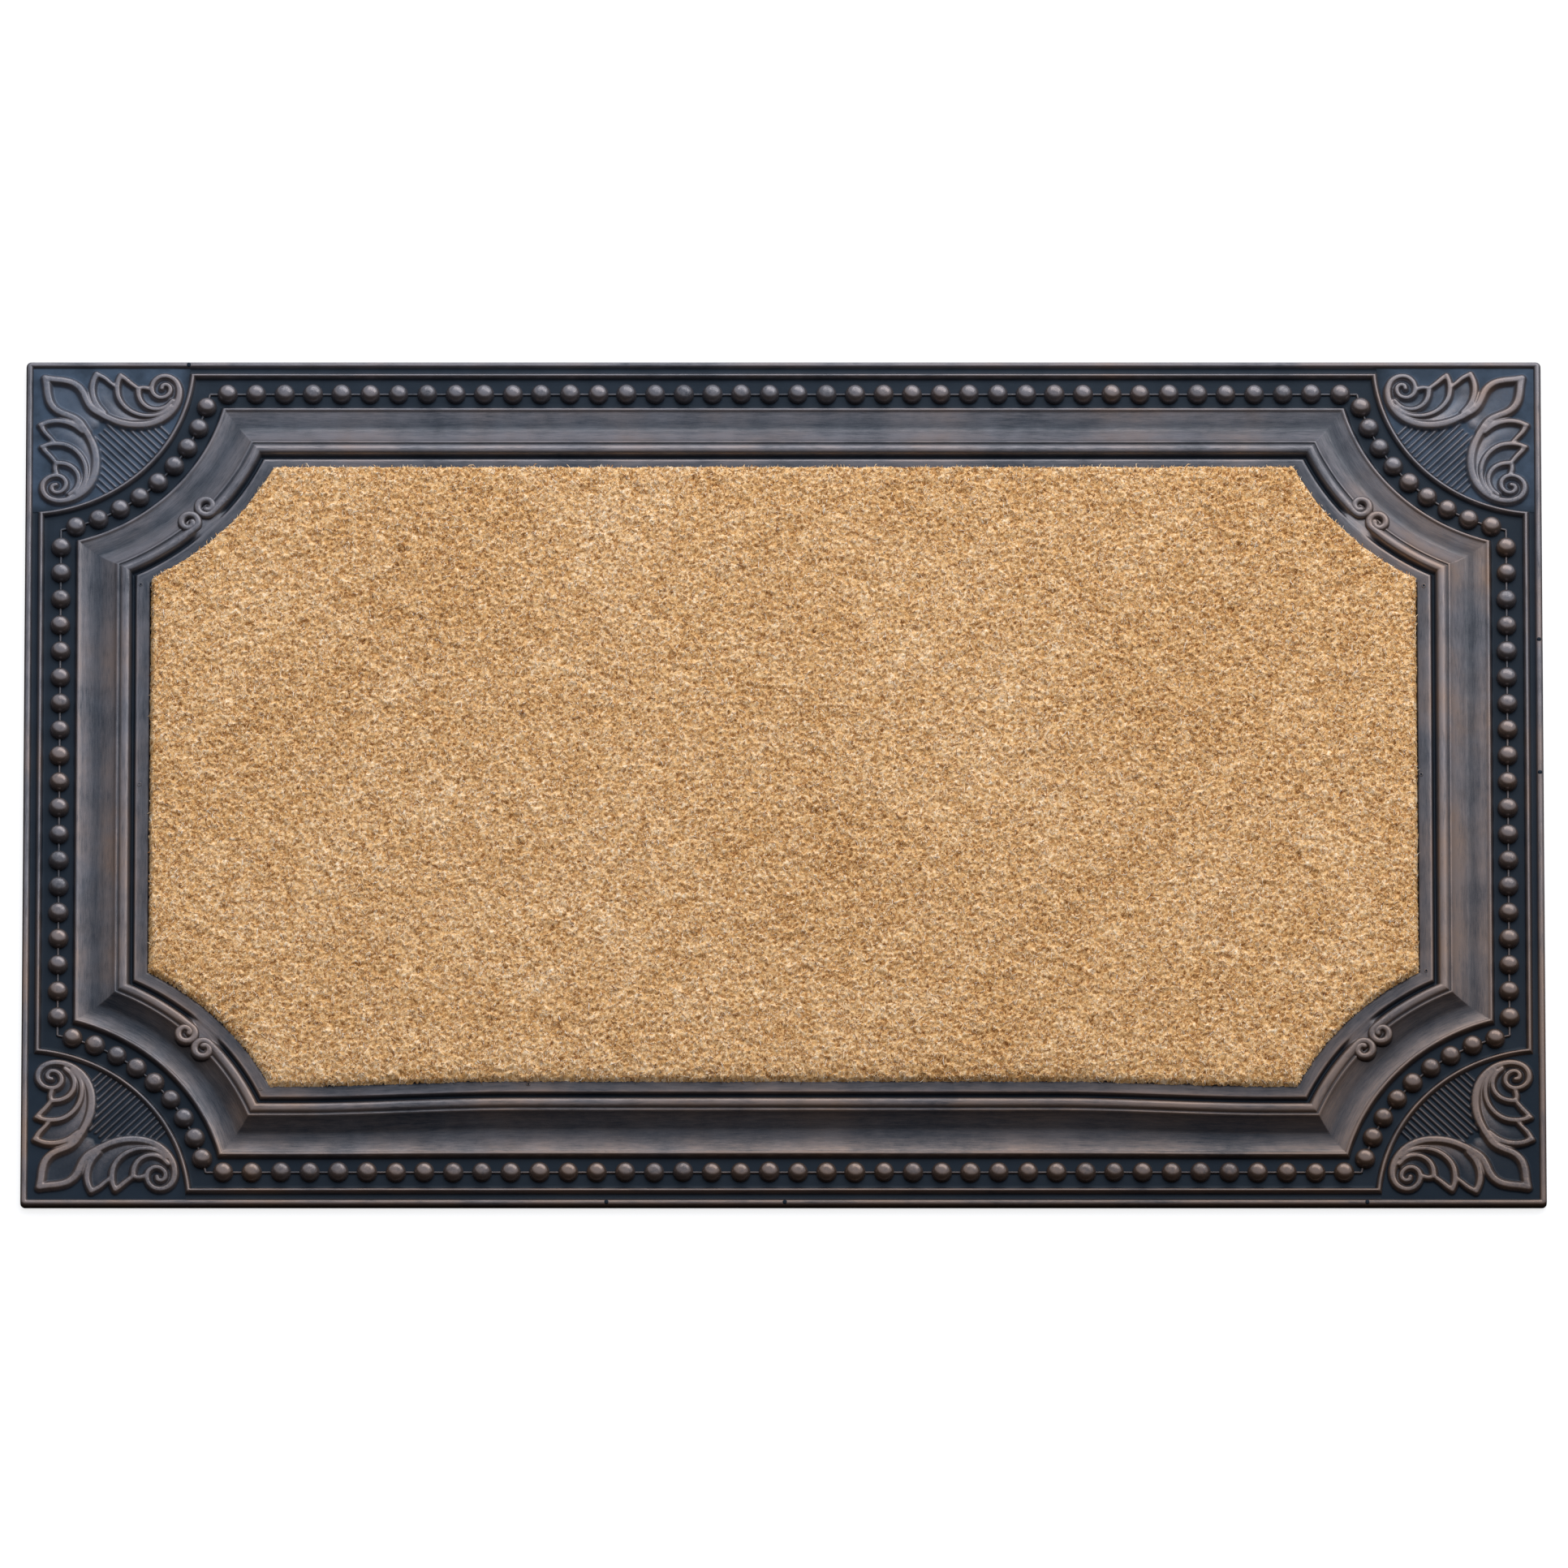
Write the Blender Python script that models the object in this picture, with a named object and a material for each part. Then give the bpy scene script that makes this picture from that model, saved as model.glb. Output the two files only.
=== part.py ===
"""Moulded rubber door mat with an inlaid coir panel, as four separate solids.

Frame: metres, +Z up.  The origin is the middle of the underside, +X runs along
the long side, +Y towards the far long side.  The rubber is one moulding: a thin
floor, a relief border and a recess.  The coir panel (pile on its backing) lies
in the recess on a film of adhesive.

The whole border follows one closed path.  `e` is the distance inward from the
straight outer edges.  Each corner of the path is a concave quarter arc centred
on the mat's own outer corner, with radius ARC_BASE + e.
"""
import math

import bmesh
import bpy
from mathutils import Vector
from mathutils.geometry import delaunay_2d_cdt

MM = 0.001

# ---- driving dimensions, millimetres ---------------------------------------
LENGTH = 965.0            # along X
WIDTH = 584.0             # along Y
CORNER_R = 3.0            # rounding of the four outer corners in plan
ARC_BASE = 96.5           # corner arc radius at e = 0
ARC_STEPS = 9             # facets in each corner arc

FLOOR_Z = 3.0             # top of the thin rubber floor under the coir
GROUND_Z = 3.8            # ground of the bead channel and the corner panels
RIM_Z = 5.8               # crest of the outer rim
LINE_Z = 7.2              # crest of the raised line outside the beads

# outer rim, on the rectangle: (inset from the edge, height)
RIM_PROFILE = ((0.0, 3.6), (0.7, 5.1), (2.2, RIM_Z), (3.9, 5.4), (5.1, GROUND_Z))

# raised line, on the notched path
LINE_FOOT_OUT, LINE_FOOT_IN = 7.9, 12.6
LINE_PROFILE = ((9.0, 6.5), (10.2, LINE_Z), (11.4, 6.5))

# fillet, cove, torus, groove and ledge, on the notched path
FILLET_FOOT = 32.5
COVE_PROFILE = ((33.2, 7.4), (34.3, 8.1), (35.8, 7.4), (40.5, 6.6), (45.5, 6.3),
                (50.5, 7.3), (55.0, 9.8), (58.9, 12.6), (60.3, 12.2), (62.0, 13.2),
                (64.4, 13.8), (67.2, 12.9), (68.6, 9.2), (70.4, 9.2), (71.4, 12.4))
LEDGE_E, LEDGE_Z = 80.0, 12.3     # inner edge of the ledge: the recess wall

# bead string
BEAD_E = 22.8             # centre line of the beads
BEAD_R = 6.0
BEAD_RISE = 7.0           # crown above the ground
BEAD_SIDES = 6
BEADS_LONG, BEADS_SHORT, BEADS_ARC = 40, 19, 9
PITCH_LONG, PITCH_SHORT = 18.17, 18.08
PITCH_ARC_DEG = 7.35

# ribbed fan of each corner panel, ribs parallel to the diagonal
RIB_PITCH, RIB_HALF, RIB_RISE = 4.33, 1.0, 1.4
RIBS_EACH_SIDE = 5
RIB_END_R = 102.6         # the ribs stop here, just outside the raised line

# leaf scroll of each corner panel: half of its outline, from the tip of the bud
# on the diagonal, round the near spray to the fork on the diagonal.  Distances
# from the mat's outer corner; the other half is its mirror in the diagonal.
SCROLL_RISE = 3.4
SCROLL_HALF = (
    (10.6, 10.6), (20.0, 10.9), (30.0, 12.4), (36.2, 17.0), (38.9, 25.0),
    (39.6, 15.5), (44.6, 7.2), (50.5, 10.2), (55.8, 14.4), (60.2, 7.8),
    (66.0, 12.0), (72.0, 16.3), (76.6, 15.6), (79.8, 9.8), (87.5, 7.2),
    (95.2, 9.9), (99.4, 17.5), (99.0, 26.5), (94.6, 36.0), (86.0, 43.4),
    (75.0, 46.6), (63.0, 46.0), (52.0, 42.4), (44.0, 44.0))

# coir panel and its adhesive, between the floor and the pile's top
GAP = 0.3                 # clearance between touching solids
PANEL_E = 80.8            # edge of the cut coir panel
FILM_E, FILM_T = 84.0, 0.6
BACKING_T = 2.0
PILE_TOP = 18.5
PILE_EDGE = 1.4           # height and inset of the worn top edge

HX, HY = LENGTH / 2.0, WIDTH / 2.0


# ---- plan curves ------------------------------------------------------------
def rect_loop(inset):
    """Rounded rectangle, counter-clockwise, three points to a corner."""
    r = max(CORNER_R - inset, 0.6)
    x, y = HX - inset, HY - inset
    pts = []
    for sx, sy, a0 in ((1, -1, 270), (1, 1, 0), (-1, 1, 90), (-1, -1, 180)):
        cx, cy = sx * (x - r), sy * (y - r)
        for step in range(3):
            a = math.radians(a0 + 45.0 * step)
            pts.append((cx + r * math.cos(a), cy + r * math.sin(a)))
    return pts


def notched_loop(e, steps=ARC_STEPS):
    """The border's path at inset e, counter-clockwise, with concave corners."""
    radius = ARC_BASE + e
    a_lo = math.asin(e / radius)
    pts = []
    for sx in (1, -1):
        for sy in (1, -1):
            for k in range(steps + 1):
                a = a_lo + (math.pi / 2 - 2 * a_lo) * k / steps
                pts.append((sx * (HX - radius * math.cos(a)), sy * (HY - radius * math.sin(a))))
    return order_ccw(pts)


def order_ccw(pts):
    """Put the corner arcs in one counter-clockwise run round the centre."""
    return sorted(pts, key=lambda p: math.atan2(p[1] / HY, p[0] / HX))


def bead_centres():
    out = []
    for k in range(BEADS_LONG):
        x = (k - (BEADS_LONG - 1) / 2.0) * PITCH_LONG
        out += [(x, HY - BEAD_E), (x, -HY + BEAD_E)]
    for k in range(BEADS_SHORT):
        y = (k - (BEADS_SHORT - 1) / 2.0) * PITCH_SHORT
        out += [(HX - BEAD_E, y), (-HX + BEAD_E, y)]
    radius = ARC_BASE + BEAD_E
    for sx in (1, -1):
        for sy in (1, -1):
            for k in range(BEADS_ARC):
                a = math.radians(45.0 + (k - (BEADS_ARC - 1) / 2.0) * PITCH_ARC_DEG)
                out.append((sx * (HX - radius * math.cos(a)), sy * (HY - radius * math.sin(a))))
    return out


def signed_area(loop):
    return 0.5 * sum(a[0] * b[1] - b[0] * a[1]
                     for a, b in zip(loop, loop[1:] + loop[:1]))


def ccw(loop):
    loop = list(loop)
    return loop if signed_area(loop) > 0 else loop[::-1]


def from_corner(points, sx, sy):
    """Corner-panel distances to plan coordinates at the corner (sx, sy)."""
    return ccw([(sx * (HX - u), sy * (HY - v)) for u, v in points])


def scroll_outline():
    mirrored = [(v, u) for u, v in SCROLL_HALF[-2:0:-1]]
    return list(SCROLL_HALF) + mirrored


def crossings(outline, offset):
    """Where the line at `offset` from the diagonal last leaves the scroll."""
    far = 0.0
    n = len(outline)
    for i in range(n):
        (u0, v0), (u1, v1) = outline[i], outline[(i + 1) % n]
        d0, d1 = (u0 - v0) / math.sqrt(2) - offset, (u1 - v1) / math.sqrt(2) - offset
        if (d0 < 0) != (d1 < 0):
            t = d0 / (d0 - d1)
            s = ((u0 + v0) + t * ((u1 + v1) - (u0 + v0))) / math.sqrt(2)
            far = max(far, s)
    return far


def rib_quads():
    """Plan outlines of the ribs, in distances from the mat's outer corner."""
    outline = scroll_outline()
    out = []
    for k in range(-RIBS_EACH_SIDE, RIBS_EACH_SIDE + 1):
        off = k * RIB_PITCH
        start = max(crossings(outline, off - RIB_HALF), crossings(outline, off + RIB_HALF)) + 1.0
        end = math.sqrt(RIB_END_R ** 2 - (abs(off) + RIB_HALF) ** 2)
        if end - start < 5.0:
            continue
        corners = []
        for s, d in ((start, off - RIB_HALF), (end, off - RIB_HALF),
                     (end, off + RIB_HALF), (start, off + RIB_HALF)):
            corners.append(((s + d) / math.sqrt(2), (s - d) / math.sqrt(2)))
        out.append(corners)
    return out


def inside(loop, x, y):
    hit = False
    n = len(loop)
    for i in range(n):
        (x0, y0), (x1, y1) = loop[i], loop[(i + 1) % n]
        if (y0 > y) != (y1 > y) and x < (x1 - x0) * (y - y0) / (y1 - y0) + x0:
            hit = not hit
    return hit


# ---- solids -----------------------------------------------------------------
class Solid:
    """A closed mesh put together from rings of points given in millimetres."""

    def __init__(self):
        self.bm = bmesh.new()

    def ring(self, loop, z):
        return [self.bm.verts.new((x * MM, y * MM, z * MM)) for x, y in loop]

    def band(self, outer, inner):
        """Faces between two counter-clockwise rings, facing up or outward."""
        n = len(outer)
        for i in range(n):
            j = (i + 1) % n
            self.bm.faces.new((outer[i], outer[j], inner[j], inner[i]))

    def cap(self, ring, up=True):
        self.bm.faces.new(ring if up else ring[::-1])

    def dome(self, foot, centre, steps, top_z):
        """Close a raised feature over its foot ring: (scale, height) steps."""
        cx, cy = centre
        last = foot
        for scale, z in steps:
            nxt = []
            for v in foot:
                x, y = v.co.x / MM, v.co.y / MM
                nxt.append(self.bm.verts.new(((cx + (x - cx) * scale) * MM,
                                              (cy + (y - cy) * scale) * MM, z * MM)))
            self.band(last, nxt)
            last = nxt
        if top_z is None:
            self.cap(last)
        else:
            tip = self.bm.verts.new((cx * MM, cy * MM, top_z * MM))
            for i in range(len(last)):
                self.bm.faces.new((last[i], last[(i + 1) % len(last)], tip))

    def finish(self, name, material, smooth_deg=35.0):
        bm = self.bm
        bmesh.ops.recalc_face_normals(bm, faces=bm.faces)
        mesh = bpy.data.meshes.new(name)
        bm.to_mesh(mesh)
        bm.free()
        mesh.shade_smooth()
        mesh.set_sharp_from_angle(angle=math.radians(smooth_deg))
        mesh.materials.append(material)
        obj = bpy.data.objects.new(name, mesh)
        bpy.context.scene.collection.objects.link(obj)
        return obj


def material(name, colour, roughness, metallic=0.0):
    mat = bpy.data.materials.new(name)
    mat.use_nodes = True
    bsdf = mat.node_tree.nodes["Principled BSDF"]
    bsdf.inputs["Base Color"].default_value = (*colour, 1.0)
    bsdf.inputs["Roughness"].default_value = roughness
    bsdf.inputs["Metallic"].default_value = metallic
    mat.diffuse_color = (*colour, 1.0)
    return mat


def ground_faces(solid, boundary, islands):
    """Fill the flat ground between the boundary rings and round the islands.

    boundary: (outer ring, inner ring) of verts; islands: rings of verts, in
    pairs (outer, inner) for the raised line and single for the rest.
    """
    rings = list(boundary)
    rings += [r for group in islands for r in group]
    coords, edges, owner = [], [], []
    for ring in rings:
        base = len(coords)
        coords += [Vector((v.co.x / MM, v.co.y / MM)) for v in ring]
        owner += ring
        edges += [(base + i, base + (i + 1) % len(ring)) for i in range(len(ring))]
    out_verts, _, out_faces, orig, _, _ = delaunay_2d_cdt(coords, edges, [], 0, 1e-5)
    outer = [(v.co.x / MM, v.co.y / MM) for v in boundary[0]]
    inner = [(v.co.x / MM, v.co.y / MM) for v in boundary[1]]
    zones = []
    for group in islands:
        loops = [[(v.co.x / MM, v.co.y / MM) for v in r] for r in group]
        box = (min(p[0] for p in loops[0]), max(p[0] for p in loops[0]),
               min(p[1] for p in loops[0]), max(p[1] for p in loops[0]))
        zones.append((loops, box))
    for face in out_faces:
        cx = sum(out_verts[i].x for i in face) / len(face)
        cy = sum(out_verts[i].y for i in face) / len(face)
        if not inside(outer, cx, cy) or inside(inner, cx, cy):
            continue
        blocked = False
        for loops, box in zones:
            if not (box[0] <= cx <= box[1] and box[2] <= cy <= box[3]):
                continue
            if inside(loops[0], cx, cy) and not (len(loops) > 1 and inside(loops[1], cx, cy)):
                blocked = True
                break
        if not blocked:
            solid.bm.faces.new([owner[orig[i][0]] for i in face])


def rubber_tray():
    s = Solid()
    # underside and outer rim
    base = s.ring(rect_loop(0.0), 0.0)
    s.cap(base, up=False)
    last = base
    for e, z in RIM_PROFILE:
        nxt = s.ring(rect_loop(e), z)
        s.band(last, nxt)
        last = nxt
    rim_foot = last

    # raised line
    line_out = s.ring(notched_loop(LINE_FOOT_OUT), GROUND_Z)
    last = line_out
    for e, z in LINE_PROFILE:
        nxt = s.ring(notched_loop(e), z)
        s.band(last, nxt)
        last = nxt
    line_in = s.ring(notched_loop(LINE_FOOT_IN), GROUND_Z)
    s.band(last, line_in)

    # fillet to ledge, then down the recess wall to the floor
    fillet_foot = s.ring(notched_loop(FILLET_FOOT), GROUND_Z)
    last = fillet_foot
    for e, z in COVE_PROFILE + ((LEDGE_E, LEDGE_Z), (LEDGE_E, FLOOR_Z)):
        nxt = s.ring(notched_loop(e), z)
        s.band(last, nxt)
        last = nxt
    s.cap(last)

    islands = [(line_out, line_in)]
    domes = []

    # beads
    for cx, cy in bead_centres():
        foot = s.ring([(cx + BEAD_R * math.cos(2 * math.pi * (k + 0.5) / BEAD_SIDES),
                        cy + BEAD_R * math.sin(2 * math.pi * (k + 0.5) / BEAD_SIDES))
                       for k in range(BEAD_SIDES)], GROUND_Z)
        islands.append((foot,))
        domes.append((foot, (cx, cy), ((0.76, GROUND_Z + 0.68 * BEAD_RISE),), GROUND_Z + BEAD_RISE))

    # corner panels: leaf scroll and ribbed fan
    for sx in (1, -1):
        for sy in (1, -1):
            foot = s.ring(from_corner(scroll_outline(), sx, sy), GROUND_Z)
            islands.append((foot,))
            domes.append((foot, (0.0, 0.0), ((1.0, GROUND_Z + SCROLL_RISE),), None))
            for quad in rib_quads():
                loop = from_corner(quad, sx, sy)
                foot = s.ring(loop, GROUND_Z)
                mid = (sum(p[0] for p in loop) / 4.0, sum(p[1] for p in loop) / 4.0)
                islands.append((foot,))
                domes.append((foot, mid, ((0.9, GROUND_Z + RIB_RISE),), None))

    ground_faces(s, (rim_foot, fillet_foot), islands)
    for foot, centre, steps, top in domes:
        s.dome(foot, centre, steps, top)
    return s.finish("rubber_tray", material("black_rubber", (0.035, 0.032, 0.034), 0.5))


def plate(name, e, z0, z1, mat, top_edge=0.0):
    s = Solid()
    low = s.ring(notched_loop(e), z0)
    s.cap(low, up=False)
    last = low
    if top_edge:
        nxt = s.ring(notched_loop(e), z1 - top_edge)
        s.band(last, nxt)
        last = nxt
        nxt = s.ring(notched_loop(e + top_edge), z1)
    else:
        nxt = s.ring(notched_loop(e), z1)
    s.band(last, nxt)
    s.cap(nxt)
    return s.finish(name, mat)


for old in list(bpy.data.objects):
    bpy.data.objects.remove(old, do_unlink=True)

rubber_tray()

film_z = FLOOR_Z + GAP
plate("adhesive_film", FILM_E, film_z, film_z + FILM_T,
      material("clear_adhesive", (0.62, 0.56, 0.40), 0.4))

backing_z = film_z + FILM_T + GAP
plate("coir_backing", PANEL_E, backing_z, backing_z + BACKING_T,
      material("vinyl_backing", (0.10, 0.085, 0.07), 0.6))

plate("coir_pile", PANEL_E, backing_z + BACKING_T + GAP, PILE_TOP,
      material("coir_fibre", (0.67, 0.40, 0.17), 0.95), top_edge=PILE_EDGE)
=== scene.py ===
"""Moulded rubber door mat with a bronzed relief border and a coir panel.

Every length below is in millimetres until it is scaled by MM.  `e` is the
distance inward from the mat's straight outer edges; each corner of the border's
path is a concave quarter arc about the mat's own outer corner, of radius
ARC_BASE + e.  `u` and `v` are the distances from an outer corner along X and Y.
"""
import math

import bpy
import numpy as np
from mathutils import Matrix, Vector


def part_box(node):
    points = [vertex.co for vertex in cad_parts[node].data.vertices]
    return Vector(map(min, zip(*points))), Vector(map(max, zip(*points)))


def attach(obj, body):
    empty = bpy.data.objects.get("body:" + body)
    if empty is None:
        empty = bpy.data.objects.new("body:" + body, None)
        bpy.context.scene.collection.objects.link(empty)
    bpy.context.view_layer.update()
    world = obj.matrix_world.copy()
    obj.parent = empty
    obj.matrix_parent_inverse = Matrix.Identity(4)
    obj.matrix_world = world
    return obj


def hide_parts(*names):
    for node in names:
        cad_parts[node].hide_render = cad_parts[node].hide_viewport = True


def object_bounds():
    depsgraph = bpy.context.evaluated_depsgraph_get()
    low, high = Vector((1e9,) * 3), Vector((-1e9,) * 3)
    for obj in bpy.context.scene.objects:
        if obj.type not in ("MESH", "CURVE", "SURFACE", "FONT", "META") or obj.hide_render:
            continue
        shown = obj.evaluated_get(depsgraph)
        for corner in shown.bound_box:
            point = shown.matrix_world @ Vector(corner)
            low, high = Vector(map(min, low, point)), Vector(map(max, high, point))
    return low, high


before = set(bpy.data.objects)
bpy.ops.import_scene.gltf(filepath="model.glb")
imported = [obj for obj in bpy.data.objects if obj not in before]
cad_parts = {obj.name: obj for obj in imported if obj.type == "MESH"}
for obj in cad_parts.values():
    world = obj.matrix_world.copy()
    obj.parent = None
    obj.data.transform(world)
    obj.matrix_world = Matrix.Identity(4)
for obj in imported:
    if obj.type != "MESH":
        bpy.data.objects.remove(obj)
CAD_BOX = [list(map(float, c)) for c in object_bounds()]

MM = 0.001
HX, HY = CAD_BOX[1][0] / MM, CAD_BOX[1][1] / MM
ARC_BASE = 96.5
GROUND_Z = 3.8
FLOOR_Z = 3.0
PILE_BOX = [np.array(c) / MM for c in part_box("coir_pile")]
PANEL_E = HX - PILE_BOX[1][0]
PILE_TOP = PILE_BOX[1][2]


# ---- small helpers ----------------------------------------------------------
def mesh_object(name, verts, faces, floats=None, vectors=None, uv=None, smooth=True):
    """A mesh from arrays.  faces is a list of integer arrays, each (n, corners).

    uv is one (u, v) per face corner in the order of the faces.
    """
    me = bpy.data.meshes.new(name)
    verts = np.asarray(verts, float) * MM
    me.vertices.add(len(verts))
    me.vertices.foreach_set("co", verts.astype(np.float32).ravel())
    flat = np.concatenate([np.asarray(f).ravel() for f in faces]).astype(np.int32)
    totals = np.concatenate([np.full(len(f), np.asarray(f).shape[1]) for f in faces]).astype(np.int32)
    starts = np.concatenate([[0], np.cumsum(totals)[:-1]]).astype(np.int32)
    me.loops.add(len(flat))
    me.loops.foreach_set("vertex_index", flat)
    me.polygons.add(len(totals))
    me.polygons.foreach_set("loop_start", starts)
    me.polygons.foreach_set("use_smooth", np.full(len(totals), smooth))
    me.update(calc_edges=True)
    for key, value in (floats or {}).items():
        a = me.attributes.new(key, "FLOAT", "POINT")
        a.data.foreach_set("value", np.asarray(value, np.float32).ravel())
    for key, value in (vectors or {}).items():
        a = me.attributes.new(key, "FLOAT_VECTOR", "POINT")
        a.data.foreach_set("vector", np.asarray(value, np.float32).ravel())
    if uv is not None:
        layer = me.uv_layers.new(name="OFBake")
        layer.data.foreach_set("uv", np.asarray(uv, np.float32).ravel())
    me.validate(clean_customdata=False)
    obj = bpy.data.objects.new(name, me)
    bpy.context.scene.collection.objects.link(obj)
    return obj


def smoothstep(lo, hi, x):
    t = np.clip((x - lo) / (hi - lo), 0.0, 1.0)
    return t * t * (3 - 2 * t)


def catmull(points, per=8, closed=False):
    """A smooth polyline through the points (centripetal spline)."""
    p = np.asarray(points, float)
    if closed:
        p = np.vstack([p[-1], p, p[0], p[1]])
    else:
        p = np.vstack([2 * p[0] - p[1], p, 2 * p[-1] - p[-2]])
    out = []
    for i in range(1, len(p) - 2):
        p0, p1, p2, p3 = p[i - 1], p[i], p[i + 1], p[i + 2]
        t0 = 0.0
        t1 = t0 + max(np.linalg.norm(p1 - p0), 1e-9) ** 0.5
        t2 = t1 + max(np.linalg.norm(p2 - p1), 1e-9) ** 0.5
        t3 = t2 + max(np.linalg.norm(p3 - p2), 1e-9) ** 0.5
        for t in np.linspace(t1, t2, per, endpoint=False):
            a1 = (t1 - t) / (t1 - t0) * p0 + (t - t0) / (t1 - t0) * p1
            a2 = (t2 - t) / (t2 - t1) * p1 + (t - t1) / (t2 - t1) * p2
            a3 = (t3 - t) / (t3 - t2) * p2 + (t - t2) / (t3 - t2) * p3
            b1 = (t2 - t) / (t2 - t0) * a1 + (t - t0) / (t2 - t0) * a2
            b2 = (t3 - t) / (t3 - t1) * a2 + (t - t1) / (t3 - t1) * a3
            out.append((t2 - t) / (t2 - t1) * b1 + (t - t1) / (t2 - t1) * b2)
    if not closed:
        out.append(p[-2])
    return np.array(out)


def blur_noise(shape, sigma, rng):
    """Gaussian-blurred white noise with unit deviation, made periodic."""
    white = rng.standard_normal(shape)
    fy = np.fft.fftfreq(shape[0])[:, None]
    fx = np.fft.rfftfreq(shape[1])[None, :]
    keep = np.exp(-2 * (math.pi * sigma) ** 2 * (fx * fx + fy * fy))
    out = np.fft.irfft2(np.fft.rfft2(white) * keep, s=shape)
    return out / out.std()


def sample(field, fx, fy):
    """Bilinear values of field[row, column] at column fx and row fy."""
    fx = np.clip(fx, 0, field.shape[1] - 1.001)
    fy = np.clip(fy, 0, field.shape[0] - 1.001)
    ix, iy = fx.astype(int), fy.astype(int)
    tx, ty = fx - ix, fy - iy
    return ((field[iy, ix] * (1 - tx) + field[iy, ix + 1] * tx) * (1 - ty)
            + (field[iy + 1, ix] * (1 - tx) + field[iy + 1, ix + 1] * tx) * ty)


def inset_of(x, y):
    """e at a point of the border or the panel: 0 at the outer edge."""
    u, v = HX - np.abs(x), HY - np.abs(y)
    return np.minimum(np.minimum(u, v), np.hypot(u, v) - ARC_BASE)


# ---- the tray: one profile swept round the border ---------------------------
# (e, z, bronze film); the first part lies on the plain rectangle
RIM = [(0.55, 0.0, 0.0), (0.12, 0.15, 0.0), (0.0, 0.55, 0.0), (0.0, 1.4, 0.05), (0.0, 2.4, 0.15),
       (0.0, 3.4, 0.45), (0.10, 4.2, 0.7), (0.42, 4.95, 0.85), (0.95, 5.45, 0.95), (1.6, 5.75, 1.0),
       (2.3, 5.85, 1.0), (3.0, 5.75, 1.0), (3.6, 5.45, 0.9), (4.05, 5.0, 0.7), (4.4, 4.5, 0.35),
       (4.75, 4.05, 0.1), (5.2, 3.82, 0.02)]
BORDER = [(7.5, 3.8, 0.02), (7.9, 3.95, 0.04), (8.25, 4.5, 0.3), (8.6, 5.4, 0.65), (9.0, 6.3, 0.9),
          (9.5, 6.95, 1.0), (10.1, 7.2, 1.0), (10.7, 7.0, 1.0), (11.3, 6.4, 0.85), (11.75, 5.5, 0.5),
          (12.1, 4.6, 0.2), (12.45, 4.0, 0.06), (12.9, 3.82, 0.015), (14.5, 3.8, 0.01), (17.5, 3.8, 0.01),
          (21.0, 3.8, 0.01), (24.5, 3.8, 0.01), (28.0, 3.8, 0.01), (31.0, 3.8, 0.01), (32.0, 3.85, 0.02),
          (32.4, 4.3, 0.12), (32.7, 5.2, 0.4), (33.0, 6.3, 0.7), (33.35, 7.3, 0.95), (33.8, 7.9, 1.0),
          (34.4, 8.1, 1.0), (35.0, 8.0, 1.0), (35.6, 7.6, 0.9), (36.1, 7.3, 0.66), (37.0, 7.1, 0.64),
          (38.5, 6.88, 0.62), (40.5, 6.62, 0.52), (42.5, 6.42, 0.40), (44.5, 6.30, 0.29), (46.5, 6.30, 0.27),
          (47.9, 6.42, 0.32), (49.0, 6.72, 0.42), (50.0, 7.17, 0.50), (51.2, 7.78, 0.58), (52.6, 8.5, 0.68),
          (54.0, 9.25, 0.78), (55.6, 10.17, 0.86), (57.0, 11.05, 0.88), (58.0, 11.78, 0.86), (58.8, 12.5, 0.84),
          (59.4, 12.75, 0.78), (59.85, 12.55, 0.6),
          (60.2, 12.15, 0.3), (60.55, 12.1, 0.3), (60.95, 12.5, 0.6), (61.5, 13.05, 0.8), (62.3, 13.5, 0.86),
          (63.3, 13.8, 0.88), (64.4, 13.9, 0.88), (65.4, 13.8, 0.86), (66.3, 13.45, 0.84), (67.1, 12.8, 0.78),
          (67.7, 11.8, 0.6), (68.15, 10.6, 0.3), (68.55, 9.6, 0.08), (69.1, 9.15, 0.02), (69.8, 9.15, 0.02),
          (70.3, 9.6, 0.06), (70.65, 10.7, 0.3), (70.95, 11.7, 0.6), (71.35, 12.25, 0.9), (71.95, 12.45, 0.95),
          (73.0, 12.42, 0.52), (75.0, 12.38, 0.40), (77.3, 12.34, 0.36), (79.2, 12.3, 0.40), (79.75, 12.1, 0.36),
          (79.98, 11.7, 0.3), (80.0, 10.5, 0.02), (80.0, 6.0, 0.0), (80.0, FLOOR_Z, 0.0)]


def warped(n, first, length):
    """n + 1 fractions from 0 to 1 with `first` mm steps at both ends."""
    a = first / length
    t = np.linspace(0, 1, n - 1)
    inner = 3 * a + (1 - 6 * a) * t
    return np.concatenate([[0.0, a], inner[1:-1] if n > 3 else inner, [1 - a, 1.0]])


ARC_T = warped(66, 0.7, 200.0)
LONG_T = warped(70, 0.7, 740.0)
SHORT_T = warped(38, 0.7, 360.0)


def corner_notched(e):
    """(u, v) along one corner's arc, from the short side to the long side."""
    r = ARC_BASE + e
    lo = math.asin(e / r)
    a = lo + (math.pi / 2 - 2 * lo) * ARC_T
    # a = angle from the v axis
    return np.column_stack([r * np.sin(a), r * np.cos(a)])


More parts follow.
